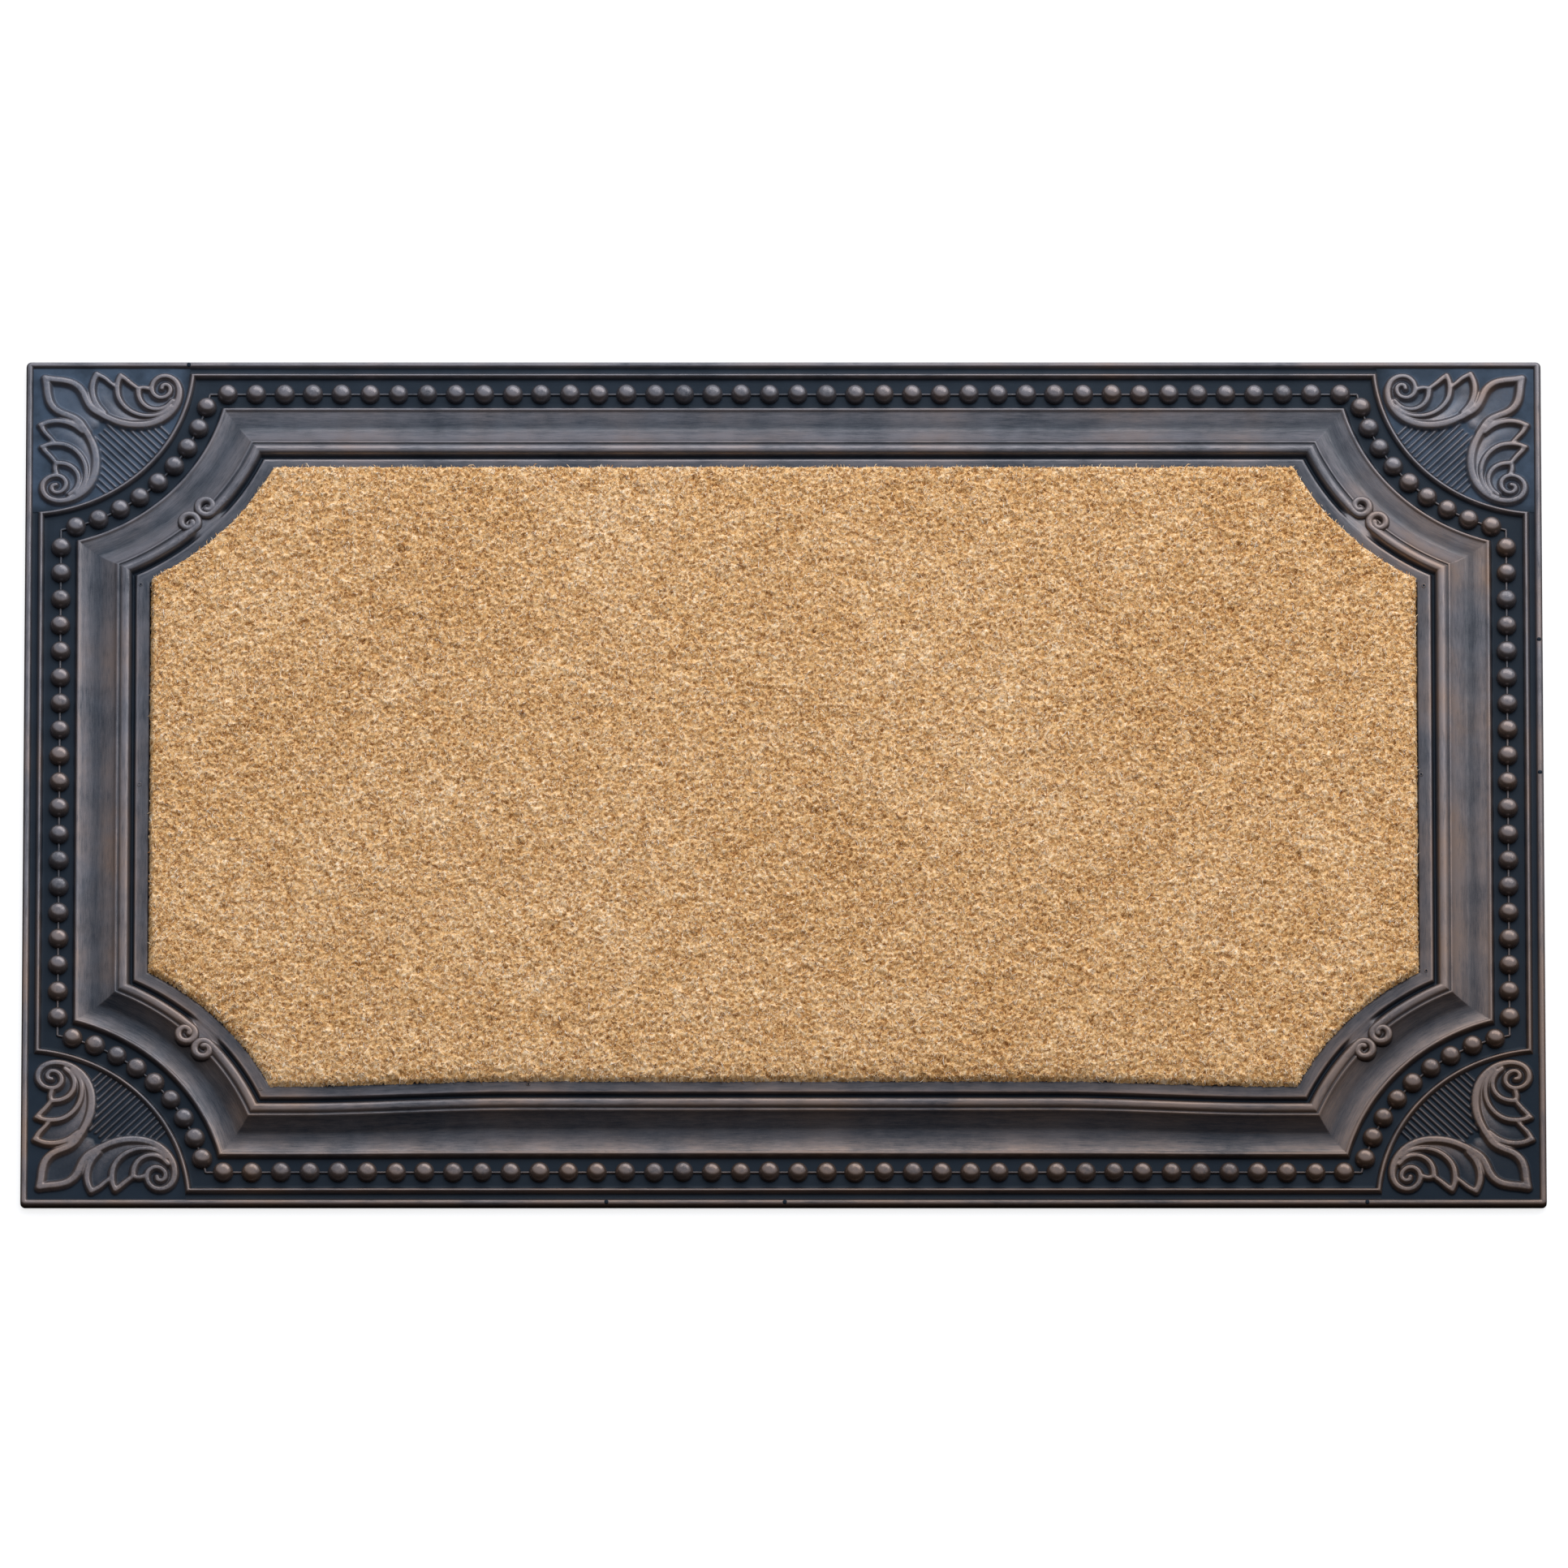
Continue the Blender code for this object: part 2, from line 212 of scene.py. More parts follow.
def corner_rect(inset, reach):
    """The same number of (u, v) points round the square outer corner."""
    r = max(3.2 - inset, 0.5)
    leg = reach - inset - r
    arc = r * math.pi / 2
    n = len(ARC_T)
    bend = 9                       # points on the rounded corner
    side = (n - bend) // 2
    s1 = warped(side - 1, 0.7, leg) if side > 4 else np.linspace(0, 1, side)
    s1 = s1[:side]
    leg1 = np.column_stack([np.full(side, inset), reach - s1 * leg])
    rest = n - 2 * side
    a = np.linspace(0, math.pi / 2, rest + 2)[1:-1]
    c = inset + r
    knee = np.column_stack([c - r * np.cos(a), c - r * np.sin(a)])
    leg2 = leg1[::-1, ::-1]
    return np.vstack([leg1, knee, leg2])


def ring(corner):
    """A closed loop from one corner's (u, v) points, counter-clockwise."""
    pts = []
    top_v, top_u = corner[0, 1], corner[-1, 0]
    e0 = corner[0, 0]
    e1 = corner[-1, 1]
    # right side, upwards
    y = -(HY - top_v) + 2 * (HY - top_v) * SHORT_T[1:-1]
    pts.append(np.column_stack([np.full(len(y), HX - e0), y]))
    pts.append(np.column_stack([HX - corner[:, 0], HY - corner[:, 1]]))
    x = (HX - top_u) - 2 * (HX - top_u) * LONG_T[1:-1]
    pts.append(np.column_stack([x, np.full(len(x), HY - e1)]))
    c = corner[::-1]
    pts.append(np.column_stack([-(HX - c[:, 0]), HY - c[:, 1]]))
    pts.append(np.column_stack([np.full(len(y), -(HX - e0)), -y]))
    pts.append(np.column_stack([-(HX - corner[:, 0]), -(HY - corner[:, 1])]))
    pts.append(np.column_stack([-x, np.full(len(x), -(HY - e1))]))
    pts.append(np.column_stack([HX - c[:, 0], -(HY - c[:, 1])]))
    return np.vstack(pts)


def volute_clear(x, y):
    """1 where the torus gives way to the pair of volutes, at each diagonal."""
    u, v = HX - np.abs(x), HY - np.abs(y)
    off = np.abs(u - v) / math.sqrt(2)
    r = np.hypot(u, v)
    near = (r > ARC_BASE + 40) & (r < ARC_BASE + 79)
    e = r - ARC_BASE
    shut = 1 - smoothstep(5.5, 10.5, off)
    # the groove runs out before the torus does
    groove = 1 - smoothstep(8.0, 17.0, off)
    return np.where(near, np.where(e > 67.5, groove, shut), 0.0)


def near_bow(x, y):
    """At mid-length the inner border of the near side stands a little further in."""
    along = 1 - smoothstep(170.0, 310.0, np.abs(x))
    return 3.6 * along * smoothstep(-267.0, -230.0, y) * (1 - smoothstep(-205.0, -120.0, y))


def build_tray():
    rings, zs, films, insets = [], [], [], []
    reach = math.sqrt((ARC_BASE + 7.5) ** 2 - 7.5 ** 2)
    for e, z, f in RIM:
        rings.append(ring(corner_rect(e, reach)))
        zs.append(z), films.append(f), insets.append(e)
    for e, z, f in BORDER:
        rings.append(ring(corner_notched(e)))
        zs.append(z), films.append(f), insets.append(e)
    n = len(rings[0])
    m = len(rings)
    xy = np.array(rings)                                  # m, n, 2
    z = np.repeat(np.array(zs)[:, None], n, 1)
    film = np.repeat(np.array(films)[:, None], n, 1)
    e = np.repeat(np.array(insets)[:, None], n, 1)
    w = volute_clear(xy[..., 0], xy[..., 1])
    # between the volutes the torus and groove sink into a plain slope
    plain = np.interp(e, [0, 57.0, 59.5, 62, 66, 70, 71.4, 72.5, 90], [0, 0, 11.6, 11.2, 11.3, 11.9, 12.3, 12.42, 12.3])
    flat = (e > 58.2) & (e < 72.3)
    z = np.where(flat, z * (1 - w) + plain * w, z)
    film = np.where(flat, film * (1 - w) + 0.7 * w, film)
    # the steep part of the cove has less film along the near side, painted shade where it faces the dark near
    # surroundings, and a little more along the far side, a painted highlight where it faces the bright sky
    near = (inset_of(xy[..., 0], xy[..., 1] + 1.0) - inset_of(xy[..., 0], xy[..., 1] - 1.0)) / 2
    steep = smoothstep(45.5, 50.5, e) * (1 - smoothstep(58.0, 59.0, e))
    film = film * (1 - steep * (0.66 * np.clip(near, 0, 1) - 0.15 * np.clip(-near, 0, 1)))
    step = np.linalg.norm(np.diff(xy, axis=1, append=xy[:, :1]), axis=2)
    along = np.cumsum(np.concatenate([[0], step[m // 2][:-1]]))[None, :]
    rng = np.random.default_rng(5)
    # the moulding is not perfectly even: a slow wander of under 0.1 mm in height
    wob = blur_noise((64, 512), 3.0, rng)
    fx = (np.arange(n) / n * 511)[None, :].repeat(m, 0)
    fy = (np.arange(m) / m * 63)[:, None].repeat(n, 1)
    live = (e > 6.5) & (e < 79.5)
    z = z + np.where(live, 0.05 * sample(wob, fx, fy), 0)
    verts = np.column_stack([xy.reshape(-1, 2), z.ravel()])
    verts[:, 1] += near_bow(verts[:, 0], verts[:, 1])
    i = np.arange(n)
    j = (i + 1) % n
    quads = []
    for k in range(m - 1):
        quads.append(np.column_stack([k * n + i, k * n + j, (k + 1) * n + j, (k + 1) * n + i]))
    quads = np.vstack(quads)
    # strips of the bake map: four side-by-side runs
    cut = np.concatenate([[0], np.cumsum(np.hypot(np.diff(insets), np.diff(zs)))])
    cut = cut / cut[-1]
    per = math.ceil(n / 4)
    strip = i // per
    u0 = (i % per) / per
    u1 = (i % per + 1) / per
    uvs = []
    for k in range(m - 1):
        v0 = (strip + 0.02 + 0.96 * cut[k]) * 0.2
        v1 = (strip + 0.02 + 0.96 * cut[k + 1]) * 0.2
        uvs.append(np.stack([np.column_stack([u0, v0]), np.column_stack([u1, v0]),
                             np.column_stack([u1, v1]), np.column_stack([u0, v1])], 1))
    uvs = np.vstack(uvs).reshape(-1, 2)
    # underside and recess floor
    base = np.arange(n)[::-1][None, :]
    top = ((m - 1) * n + np.arange(n))[None, :]
    def planar(idx, x0):
        p = verts[idx[0], :2]
        return np.column_stack([x0 + 0.4 * (p[:, 0] + HX) / (2 * HX), 0.81 + 0.18 * (p[:, 1] + HY) / (2 * HY)])
    uvs = np.vstack([uvs, planar(base, 0.02), planar(top, 0.5)])
    # the underside also gets its film and flow values from its ring
    flow = np.column_stack([np.tile(along[0], m) * 0.10, e.ravel(), z.ravel()]) * MM
    obj = mesh_object("tray_moulding", verts, [quads, base, top],
                      floats={"film": film.ravel()}, vectors={"flow": flow}, uv=uvs)
    return obj


# ---- corner panels ----------------------------------------------------------
BUD = [(12, 12), (17.5, 12.9), (23.8, 13.6), (29.4, 15.2), (33.6, 18.2), (36.4, 22.2), (38.2, 26.5),
       (40.3, 30.8), (42.8, 33.9), (46.5, 36.6)]
LEAF1_LEFT = [(44.8, 9.1), (42.6, 14.3), (41.9, 20), (42.8, 25.8), (45.2, 31.2), (49.2, 36.3)]
LEAF1_RIGHT = [(44.8, 9.1), (49.9, 11.9), (53.7, 15.3), (57.6, 18.6)]
LEAF2_LEFT = [(60, 10.1), (58.3, 14.5), (57.9, 20), (58.9, 25.8), (62.1, 31.2), (67.3, 35.6), (73.8, 38.1),
              (81, 38.3), (87.3, 36.4), (92.6, 32.4)]
LEAF2_RIGHT = [(60, 10.1), (62.8, 12.2), (66.6, 15.6), (71.2, 19.2)]
LEAF3 = [(71.2, 19.0), (75.2, 18.6), (79.0, 19.6)]
LEAF3_LOW = [(71.2, 19.2), (71.9, 25.2), (74.4, 29.9), (78.9, 33.1), (84.1, 33.8), (89.4, 31.8), (93.2, 27.8)]
STEM = [(46.5, 36.6), (50.5, 39.0), (56, 41.9), (62, 43.9), (69, 44.9), (77, 44.4), (84.5, 41.9), (90.9, 37.4),
        (95.4, 31.3), (97.5, 25), (97.5, 19.2), (95.2, 13.9), (90.8, 10.9), (85.6, 10.9), (81.6, 13.9),
        (79.9, 18.4), (80.9, 22.9), (84.4, 25.6), (88.6, 25.1), (91.4, 22.2), (91.6, 18.6), (89.3, 16.6),
        (86.9, 17.2), (86.3, 19.3)]
# (points, half width at the start, half width at the end, height)
STROKES = [
    (BUD, 3.1, 3.2, 3.5), (LEAF1_LEFT, 2.5, 2.8, 3.4), (LEAF1_RIGHT, 2.4, 1.9, 3.3),
    (LEAF2_LEFT, 2.4, 1.9, 3.5), (LEAF2_RIGHT, 2.4, 2.1, 3.3), (LEAF3, 2.1, 2.2, 3.2), (LEAF3_LOW, 2.3, 1.9, 3.4),
]
# smooth low fills: (points, half width, height at the start, height at the end)
FILLS = [
    ([(48.5, 19.5), (49.8, 26.0), (54.2, 32.5), (61.0, 38.2), (69.5, 41.4), (79.0, 41.4), (88.0, 37.5)], 4.6, 0.6, 2.4),
    ([(32.0, 32.0), (36.0, 36.0), (39.5, 39.5), (42.6, 42.6)], 4.6, 0.2, 1.2),
    ([(75.5, 29.5), (82.0, 31.5), (88.0, 28.5)], 3.0, 0.6, 0.9),
]
OUTLINE = [(12, 12), (17.5, 12.6), (23.8, 13.2), (29.4, 14.8), (33.6, 18.0), (36.4, 22.2), (38.6, 27.5),
           (40.6, 31.0), (42.0, 32.0), (42.2, 29.0), (41.2, 24.5), (41.0, 19.0), (42.0, 14.0), (44.8, 8.6),
           (49.9, 11.4), (54.0, 15.2), (57.2, 18.0), (57.8, 14.5), (60, 9.6), (62.8, 11.8), (66.6, 15.2),
           (71.0, 18.6), (75.2, 18.2), (79.0, 19.2), (79.6, 16.0), (81.6, 13.4), (85.6, 10.4), (90.8, 10.4),
           (95.6, 13.6), (98.0, 19.2), (98.0, 25.2), (95.8, 31.6), (91.2, 37.8), (84.7, 42.4), (77, 45.0),
           (69, 45.5), (61.8, 44.6), (55.6, 42.6), (50.5, 41.6), (47.5, 42.5), (46.2, 46.2)]
RIB_PITCH, RIBS_SIDE, RIB_END = 3.82, 8, 105.6


def polyline_distance(px, py, line):
    """Distance to a polyline and the position (0 to 1) along it."""
    best = np.full(px.shape, 1e9)
    where = np.zeros(px.shape)
    seg = np.linalg.norm(np.diff(line, axis=0), axis=1)
    run = np.concatenate([[0], np.cumsum(seg)])
    for (ax, ay), (bx, by), s, L in zip(line[:-1], line[1:], run[:-1], seg):
        if L < 1e-9:
            continue
        t = np.clip(((px - ax) * (bx - ax) + (py - ay) * (by - ay)) / (L * L), 0, 1)
        d = np.hypot(px - ax - t * (bx - ax), py - ay - t * (by - ay))
        hit = d < best
        best = np.where(hit, d, best)
        where = np.where(hit, (s + t * L) / run[-1], where)
    return best, where


def in_polygon(px, py, poly):
    inside = np.zeros(px.shape, bool)
    for (ax, ay), (bx, by) in zip(poly, np.roll(poly, -1, 0)):
        if ay == by:
            continue
        cross = (ay > py) != (by > py)
        inside ^= cross & (px < (bx - ax) * (py - ay) / (by - ay) + ax)
    return inside


def soft_max(a, b, k=0.35):
    h = np.clip(0.5 + 0.5 * (a - b) / k, 0, 1)
    return b * (1 - h) + a * h + k * h * (1 - h)


def ridge(d, half, height, inside):
    """A moulded ridge: steep towards the ground, a long soft slope inside the leaf."""
    x = d / half
    steep = height * np.clip(1 - np.clip(x * 0.95, 0, 1) ** 2.7, 0, 1) ** 0.66
    steep = np.maximum(steep, 0.22 * np.exp(-np.clip(d - half, 0, None) / 0.5) * (d < half + 2.5))
    soft = height * (1 - smoothstep(0.42, 1.62, x))
    return np.where(inside, soft, steep)


def panel_heights(u, v):
    """Height above the ground and film for one half, v <= u, of a panel."""
    px, py = np.maximum(u, v), np.minimum(u, v)
    h = np.zeros(px.shape)
    poly = np.array(OUTLINE)
    poly = np.vstack([poly, poly[::-1, ::-1]])
    inside = in_polygon(px, py, poly)
    for line, w0, w1, top in STROKES:
        c = catmull(line, 6)
        d, t = polyline_distance(px, py, c)
        h = soft_max(h, ridge(d, w0 + (w1 - w0) * t, top, inside))
    c = catmull(STEM, 7)
    d, t = polyline_distance(px, py, c)
    half = np.interp(t, [0, 0.12, 0.3, 0.42, 0.55, 0.8, 1.0], [2.9, 3.4, 3.4, 3.0, 2.7, 2.1, 1.9])
    h = soft_max(h, ridge(d, half, np.interp(t, [0, 0.7, 1], [3.6, 3.4, 3.3]), inside))
    # the other half's bud and stem meet this one across the diagonal
    d, t = polyline_distance(py, px, catmull(BUD, 6))
    h = soft_max(h, ridge(d, 3.1, 3.5, inside))
    # the leaf's body between its ridges, dished so that narrow parts stay high
    edge, _ = polyline_distance(px, py, np.vstack([poly, poly[:1]]))
    depth = np.where(inside, edge, 0)
    dish = np.zeros(px.shape)
    for line, half, lo, hi in FILLS:
        d, t = polyline_distance(px, py, catmull(line, 5))
        dish = np.maximum(dish, (lo + (hi - lo) * t) * np.exp(-(d / half) ** 2.4))
    dish = dish * smoothstep(0.0, 1.4, depth)
    h = soft_max(h, dish, 0.7)
    # ribs parallel to the diagonal, from the stems to just outside the line
    across = (u - v) / math.sqrt(2)
    k = np.floor(across / RIB_PITCH) + 0.5
    off = np.abs(across - k * RIB_PITCH)
    r = np.hypot(u, v)
    stem_d, _ = polyline_distance(px, py, catmull([(44, 44), (46.2, 46.2)] + [p for p in STEM[1:9]], 5))
    beyond = (~inside) & (r > 60) & (np.abs(k) <= RIBS_SIDE)
    beyond &= (py > np.interp(px, [44, 50, 56, 62, 69, 77, 84.5, 91, 95.4], [46, 42.0, 42.5, 44.4, 45.4, 44.9, 42.4, 37.9, 32]))
    fade = np.clip((RIB_END - r) / 0.9, 0, 1)
    wave = 0.5 + 0.5 * np.cos(2 * math.pi * off / RIB_PITCH)
    rib = 1.45 * smoothstep(0.12, 0.95, wave) * fade
    rib = np.where(beyond, rib, 0) * smoothstep(2.3, 3.3, stem_d)
    h = np.maximum(h, rib)
    film = np.clip(smoothstep(0.3, 2.2, h), 0, 1)
    film = np.where(inside & (rib <= 0), np.maximum(film, 0.12 + 0.72 * smoothstep(0.2, 1.9, h)), film)
    film = np.where(rib > 0, 0.60 * smoothstep(0.45, 1.4, rib), film)
    return h, film


PANEL_STEP = 0.36


def soften(a):
    """One pass of a three-by-three binomial blur."""
    for axis in (0, 1):
        a = np.pad(a, [(1, 1) if k == axis else (0, 0) for k in (0, 1)], mode="edge")
        if axis == 0:
            a = 0.25 * a[:-2] + 0.5 * a[1:-1] + 0.25 * a[2:]
        else:
            a = 0.25 * a[:, :-2] + 0.5 * a[:, 1:-1] + 0.25 * a[:, 2:]
    return a


def panel_grid():
    n = int(106 / PANEL_STEP) + 1
    g = 4.6 + np.arange(n) * PANEL_STEP
    u, v = np.meshgrid(g, g)
    h, film = panel_heights(u, v)
    for _ in range(2):
        h, film = soften(h), soften(film)
    keep = np.hypot(u, v) < 104.9
    return u, v, h, film, keep


def build_panel(name, sx, sy, grid, rng, sky_sheen):
    u, v, h, film, keep = grid
    # less film on the near panels and least on the near right: painted shade on the side of the mat that faces away
    # from the bright sky
    film = film ** (1.0 if sy > 0 else 1.3 if sx < 0 else 1.75)
    # the painted sky reflection fades out towards the panel's outer edge
    sky_sheen = sky_sheen * (1 - smoothstep(96.0, 107.0, np.maximum(u, v)))[keep]
    n = u.shape[0]
    noise = blur_noise(u.shape, 9.0, rng)
    z = GROUND_Z + 0.05 + h + 0.03 * noise
    idx = -np.ones(u.shape, int)
    idx[keep] = np.arange(keep.sum())
    a, b, c, d = idx[:-1, :-1], idx[:-1, 1:], idx[1:, 1:], idx[1:, :-1]
    ok = (a >= 0) & (b >= 0) & (c >= 0) & (d >= 0)
    quads = np.column_stack([a[ok], b[ok], c[ok], d[ok]])
    x, y = sx * (HX - u[keep]), sy * (HY - v[keep])
    if sx * sy < 0:
        quads = quads[:, ::-1]
    verts = np.column_stack([x, y, z[keep]])
    uu = (u - 4.6) / 106
    vv = (v - 4.6) / 106
    table = np.column_stack([uu[keep], vv[keep]])
    uv = table[quads.ravel()]
    flow = verts * MM
    return mesh_object(name, verts, [quads], floats={"film": film[keep], "sky_sheen": sky_sheen},
                       vectors={"flow": flow}, uv=uv)


# ---- beads ------------------------------------------------------------------
BEAD_E, BEAD_R, BEAD_RISE = 22.8, 6.6, 6.8
BEADS_LONG, BEADS_SHORT, BEADS_ARC = 40, 19, 9
PITCH_LONG, PITCH_SHORT, PITCH_ARC = 18.17, 18.08, math.radians(7.35)


def bead_places():
    long_x = [(k - (BEADS_LONG - 1) / 2) * PITCH_LONG for k in range(BEADS_LONG)]
    short_y = [(k - (BEADS_SHORT - 1) / 2) * PITCH_SHORT for k in range(BEADS_SHORT)]
    pts, bars = [], []
    for s in (1, -1):
        row = [(x, s * (HY - BEAD_E)) for x in long_x]
        pts += row
        bars += list(zip(row[:-1], row[1:]))
        row = [(s * (HX - BEAD_E), y) for y in short_y]
        pts += row
        bars += list(zip(row[:-1], row[1:]))
    r = ARC_BASE + BEAD_E
    for sx in (1, -1):
        for sy in (1, -1):
            arc = []
            for k in range(BEADS_ARC):
                a = math.pi / 4 + (k - (BEADS_ARC - 1) / 2) * PITCH_ARC
                arc.append((sx * (HX - r * math.cos(a)), sy * (HY - r * math.sin(a))))
            pts += arc
            bars += list(zip(arc[:-1], arc[1:]))
            # L-shaped bars at the two ends of the arc
            first, last = arc[0], arc[-1]      # first is next to the long side
            lo = math.asin(BEAD_E / r)
            knee1 = (sx * (HX - r * math.cos(lo)), sy * (HY - BEAD_E))
            knee2 = (sx * (HX - BEAD_E), sy * (HY - r * math.cos(lo)))
            bars += [((sx * long_x[-1], sy * (HY - BEAD_E)), knee1), (knee1, first)]
            bars += [((sx * (HX - BEAD_E), sy * short_y[-1]), knee2), (knee2, last)]
    return pts, bars


def build_beads():
    rng = np.random.default_rng(11)
    pts, bars = bead_places()
    sides, rings = 30, 12
    verts, quads, tris, film, flow = [], [], [], [], []
    count = 0
    phi = np.linspace(0, math.pi / 2, rings + 1)
    prof_r = np.cos(phi) ** 0.74
    prof_z = np.sin(phi) ** 0.90
    for x, y in pts:
        r = BEAD_R * (1 + 0.015 * rng.standard_normal())
        rise = BEAD_RISE * (1 + 0.015 * rng.standard_normal())
        ox, oy = 0.12 * rng.standard_normal(2)
        a = np.linspace(0, 2 * math.pi, sides, endpoint=False)
        loops = [(r * 1.0, GROUND_Z - 0.3, 0.0)]
        for pr, pz in zip(prof_r[:-1], prof_z[:-1]):
            loops.append((r * pr, GROUND_Z + rise * pz, float(smoothstep(-0.1, 0.16, pz))))
        for lr, lz, lf in loops:
            verts += [(x + ox + lr * math.cos(t), y + oy + lr * math.sin(t), lz) for t in a]
            film += [lf] * sides
        verts.append((x + ox, y + oy, GROUND_Z + rise))
        film.append(1.0)
        for k in range(len(loops) - 1):
            for t in range(sides):
                t2 = (t + 1) % sides
                quads.append((count + k * sides + t, count + k * sides + t2,
                              count + (k + 1) * sides + t2, count + (k + 1) * sides + t))
        lastr = count + (len(loops) - 1) * sides
        for t in range(sides):
            tris.append((lastr + t, lastr + (t + 1) % sides, count + len(loops) * sides))
        count += len(loops) * sides + 1
    beads = mesh_object("bead_string", verts, [np.array(quads), np.array(tris)],
                        floats={"film": film, "gloss": np.ones(len(verts))}, vectors={"flow": np.array(verts) * MM})
    # the bars
    verts, quads, film = [], [], []
    half, top = 0.85, 1.35
    sec = [(-half, -0.2), (-half * 0.8, top * 0.7), (-half * 0.35, top), (half * 0.35, top), (half * 0.8, top * 0.7), (half, -0.2)]
    for (x0, y0), (x1, y1) in bars:
        d = np.array([x1 - x0, y1 - y0])
        L = np.linalg.norm(d)
        if L < 0.5:
            continue
        d /= L
        nrm = np.array([-d[1], d[0]])
        base = len(verts)
        for q in (0.0, 1.0):
            c = np.array([x0, y0]) + d * L * q
            for s, h in sec:
                p = c + nrm * s
                verts.append((p[0], p[1], GROUND_Z + h))
                film.append(0.5 if h > 0.9 else (0.2 if h > 0 else 0.0))
        m = len(sec)
        for k in range(m - 1):
            quads.append((base + k, base + k + 1, base + m + k + 1, base + m + k))
    bars_obj = mesh_object("bead_bars", verts, [np.array(quads)[:, ::-1]],
                           floats={"film": film}, vectors={"flow": np.array(verts) * MM})
    return beads, bars_obj


# ---- volutes at the diagonals ------------------------------------------------
def volute_path():
    """One volute in (a, b): a towards the diagonal, b towards the panel."""
    pts, half, top = [], [], []
    for a in np.linspace(-19, -1.5, 12):
        pts.append((a, 5.3 + 0.2 * smoothstep(-8, 0, a)))
        half.append(float(np.interp(a, [-19, -12, -1.5], [3.3, 3.2, 2.75])))
        top.append(float(np.interp(a, [-19, -12, -4], [13.55, 13.95, 14.1])))
    for phi in np.linspace(8, 405, 60):
        r = np.interp(phi, [0, 90, 180, 250, 300, 350, 405], [5.5, 5.5, 5.35, 5.0, 4.3, 3.1, 2.0])
        t = math.radians(phi)
        pts.append((r * math.sin(t), r * math.cos(t)))
        half.append(float(np.interp(phi, [0, 60, 300, 405], [2.75, 2.75, 2.5, 2.5])))
        top.append(14.1)
    return np.array(pts), np.array(half), np.array(top)


def build_volutes():
    pts, half, top = volute_path()
    verts, quads, tris, film = [], [], [], []
    sec_t = np.linspace(0, math.pi, 11)
    m = len(sec_t) + 2
    for sx in (1, -1):
        for sy in (1, -1):
            for side in (1, -1):
                base = len(verts)
                r0 = ARC_BASE + 59.0
                ang0 = math.pi / 4 + side * 7.5 / r0
                # local frame at the volute's centre, in (u, v)
                c = np.array([r0 * math.cos(ang0), r0 * math.sin(ang0)])
                rad = np.array([math.cos(ang0), math.sin(ang0)])
                tan = np.array([math.sin(ang0), -math.cos(ang0)]) * side   # towards the diagonal
                line = []
                for a, b in pts:
                    # follow the arc along the lead-in
                    if a < 0 and b > 4.0:
                        rr = r0 + b
                        th = ang0 + side * (-a) / rr
                        line.append(np.array([rr * math.cos(th), rr * math.sin(th)]))
                    else:
                        line.append(c + tan * a + rad * b)
                line = np.array(line)
                tang = np.gradient(line, axis=0)
                tang /= np.linalg.norm(tang, axis=1)[:, None]
                nrm = np.column_stack([-tang[:, 1], tang[:, 0]])
                for p, nn, w, z in zip(line, nrm, half, top):
                    ring_pts = [(-w, 6.6)]
                    for t in sec_t:
                        ring_pts.append((-w * math.cos(t), z - 2.6 + 2.6 * math.sin(t) ** 0.8 if math.sin(t) > 0 else z - 2.6))
                    ring_pts.append((w, 6.6))
                    for s, h in ring_pts:
                        q = p + nn * s
                        verts.append((sx * (HX - q[0]), sy * (HY - q[1]), h))
                        film.append(float(smoothstep(10.2, 12.6, h)) * 0.95)
                k = len(line)
                flip = (sx * sy * side) > 0
                for i in range(k - 1):
                    for jj in range(m - 1):
                        q = (base + i * m + jj, base + i * m + jj + 1, base + (i + 1) * m + jj + 1, base + (i + 1) * m + jj)
                        quads.append(q if flip else q[::-1])
                # rounded end: a small dome fan
                end = base + (k - 1) * m
                pe, we, ze = line[-1], half[-1], top[-1]
                te = tang[-1]
                prev = [end + jj for jj in range(m)]
                for q in (0.35, 0.7, 0.93):
                    cur = []
                    shrink = math.sqrt(1 - q * q)
                    for s, h in [(-we, 6.6)] + [(-we * math.cos(t), ze - 2.6 + 2.6 * math.sin(t) ** 0.8 if math.sin(t) > 0 else ze - 2.6) for t in sec_t] + [(we, 6.6)]:
                        pos = pe + te * (we * q) + nrm[-1] * s * shrink
                        hh = h if h < ze - 2.59 else ze - 2.6 + (h - ze + 2.6) * shrink ** 0.6
                        cur.append(len(verts))
                        verts.append((sx * (HX - pos[0]), sy * (HY - pos[1]), hh))
                        film.append(float(smoothstep(10.2, 12.6, hh)) * 0.95)
                    for jj in range(m - 1):
                        qd = (prev[jj], prev[jj + 1], cur[jj + 1], cur[jj])
                        quads.append(qd if flip else qd[::-1])
                    prev = cur
                for jj in range(1, m // 2):
                    qd = (prev[jj - 1], prev[jj], prev[m - 1 - jj], prev[m - jj])
                    quads.append(qd if flip else qd[::-1])
    return mesh_object("corner_volutes", verts, [np.array(quads)],
                       floats={"film": film}, vectors={"flow": np.array(verts) * MM})


# ---- vent marks on the ledge --------------------------------------------------
VENTS = [(-326.0, 205.4), (-409.5, 133.6), (-409.0, -5.0), (-6.0, 211.5), (-8.0, -213.0), (-331.0, -216.0),
         (404.5, 2.0), (-401.2, 135.0), (407.0, 132.8), (407.0, -133.6), (-161.5, -215.4), (147.6, -213.0),
         (325.5, -212.0)]
# dark nicks on the crest of the outer rim
NICKS = [(HX - 2.3, 98.6), (HX - 2.3, 6.5), (-112.0, 2.3 - HY), (0.8, 2.3 - HY), (369.0, 2.3 - HY), (-379.0, HY - 2.3)]


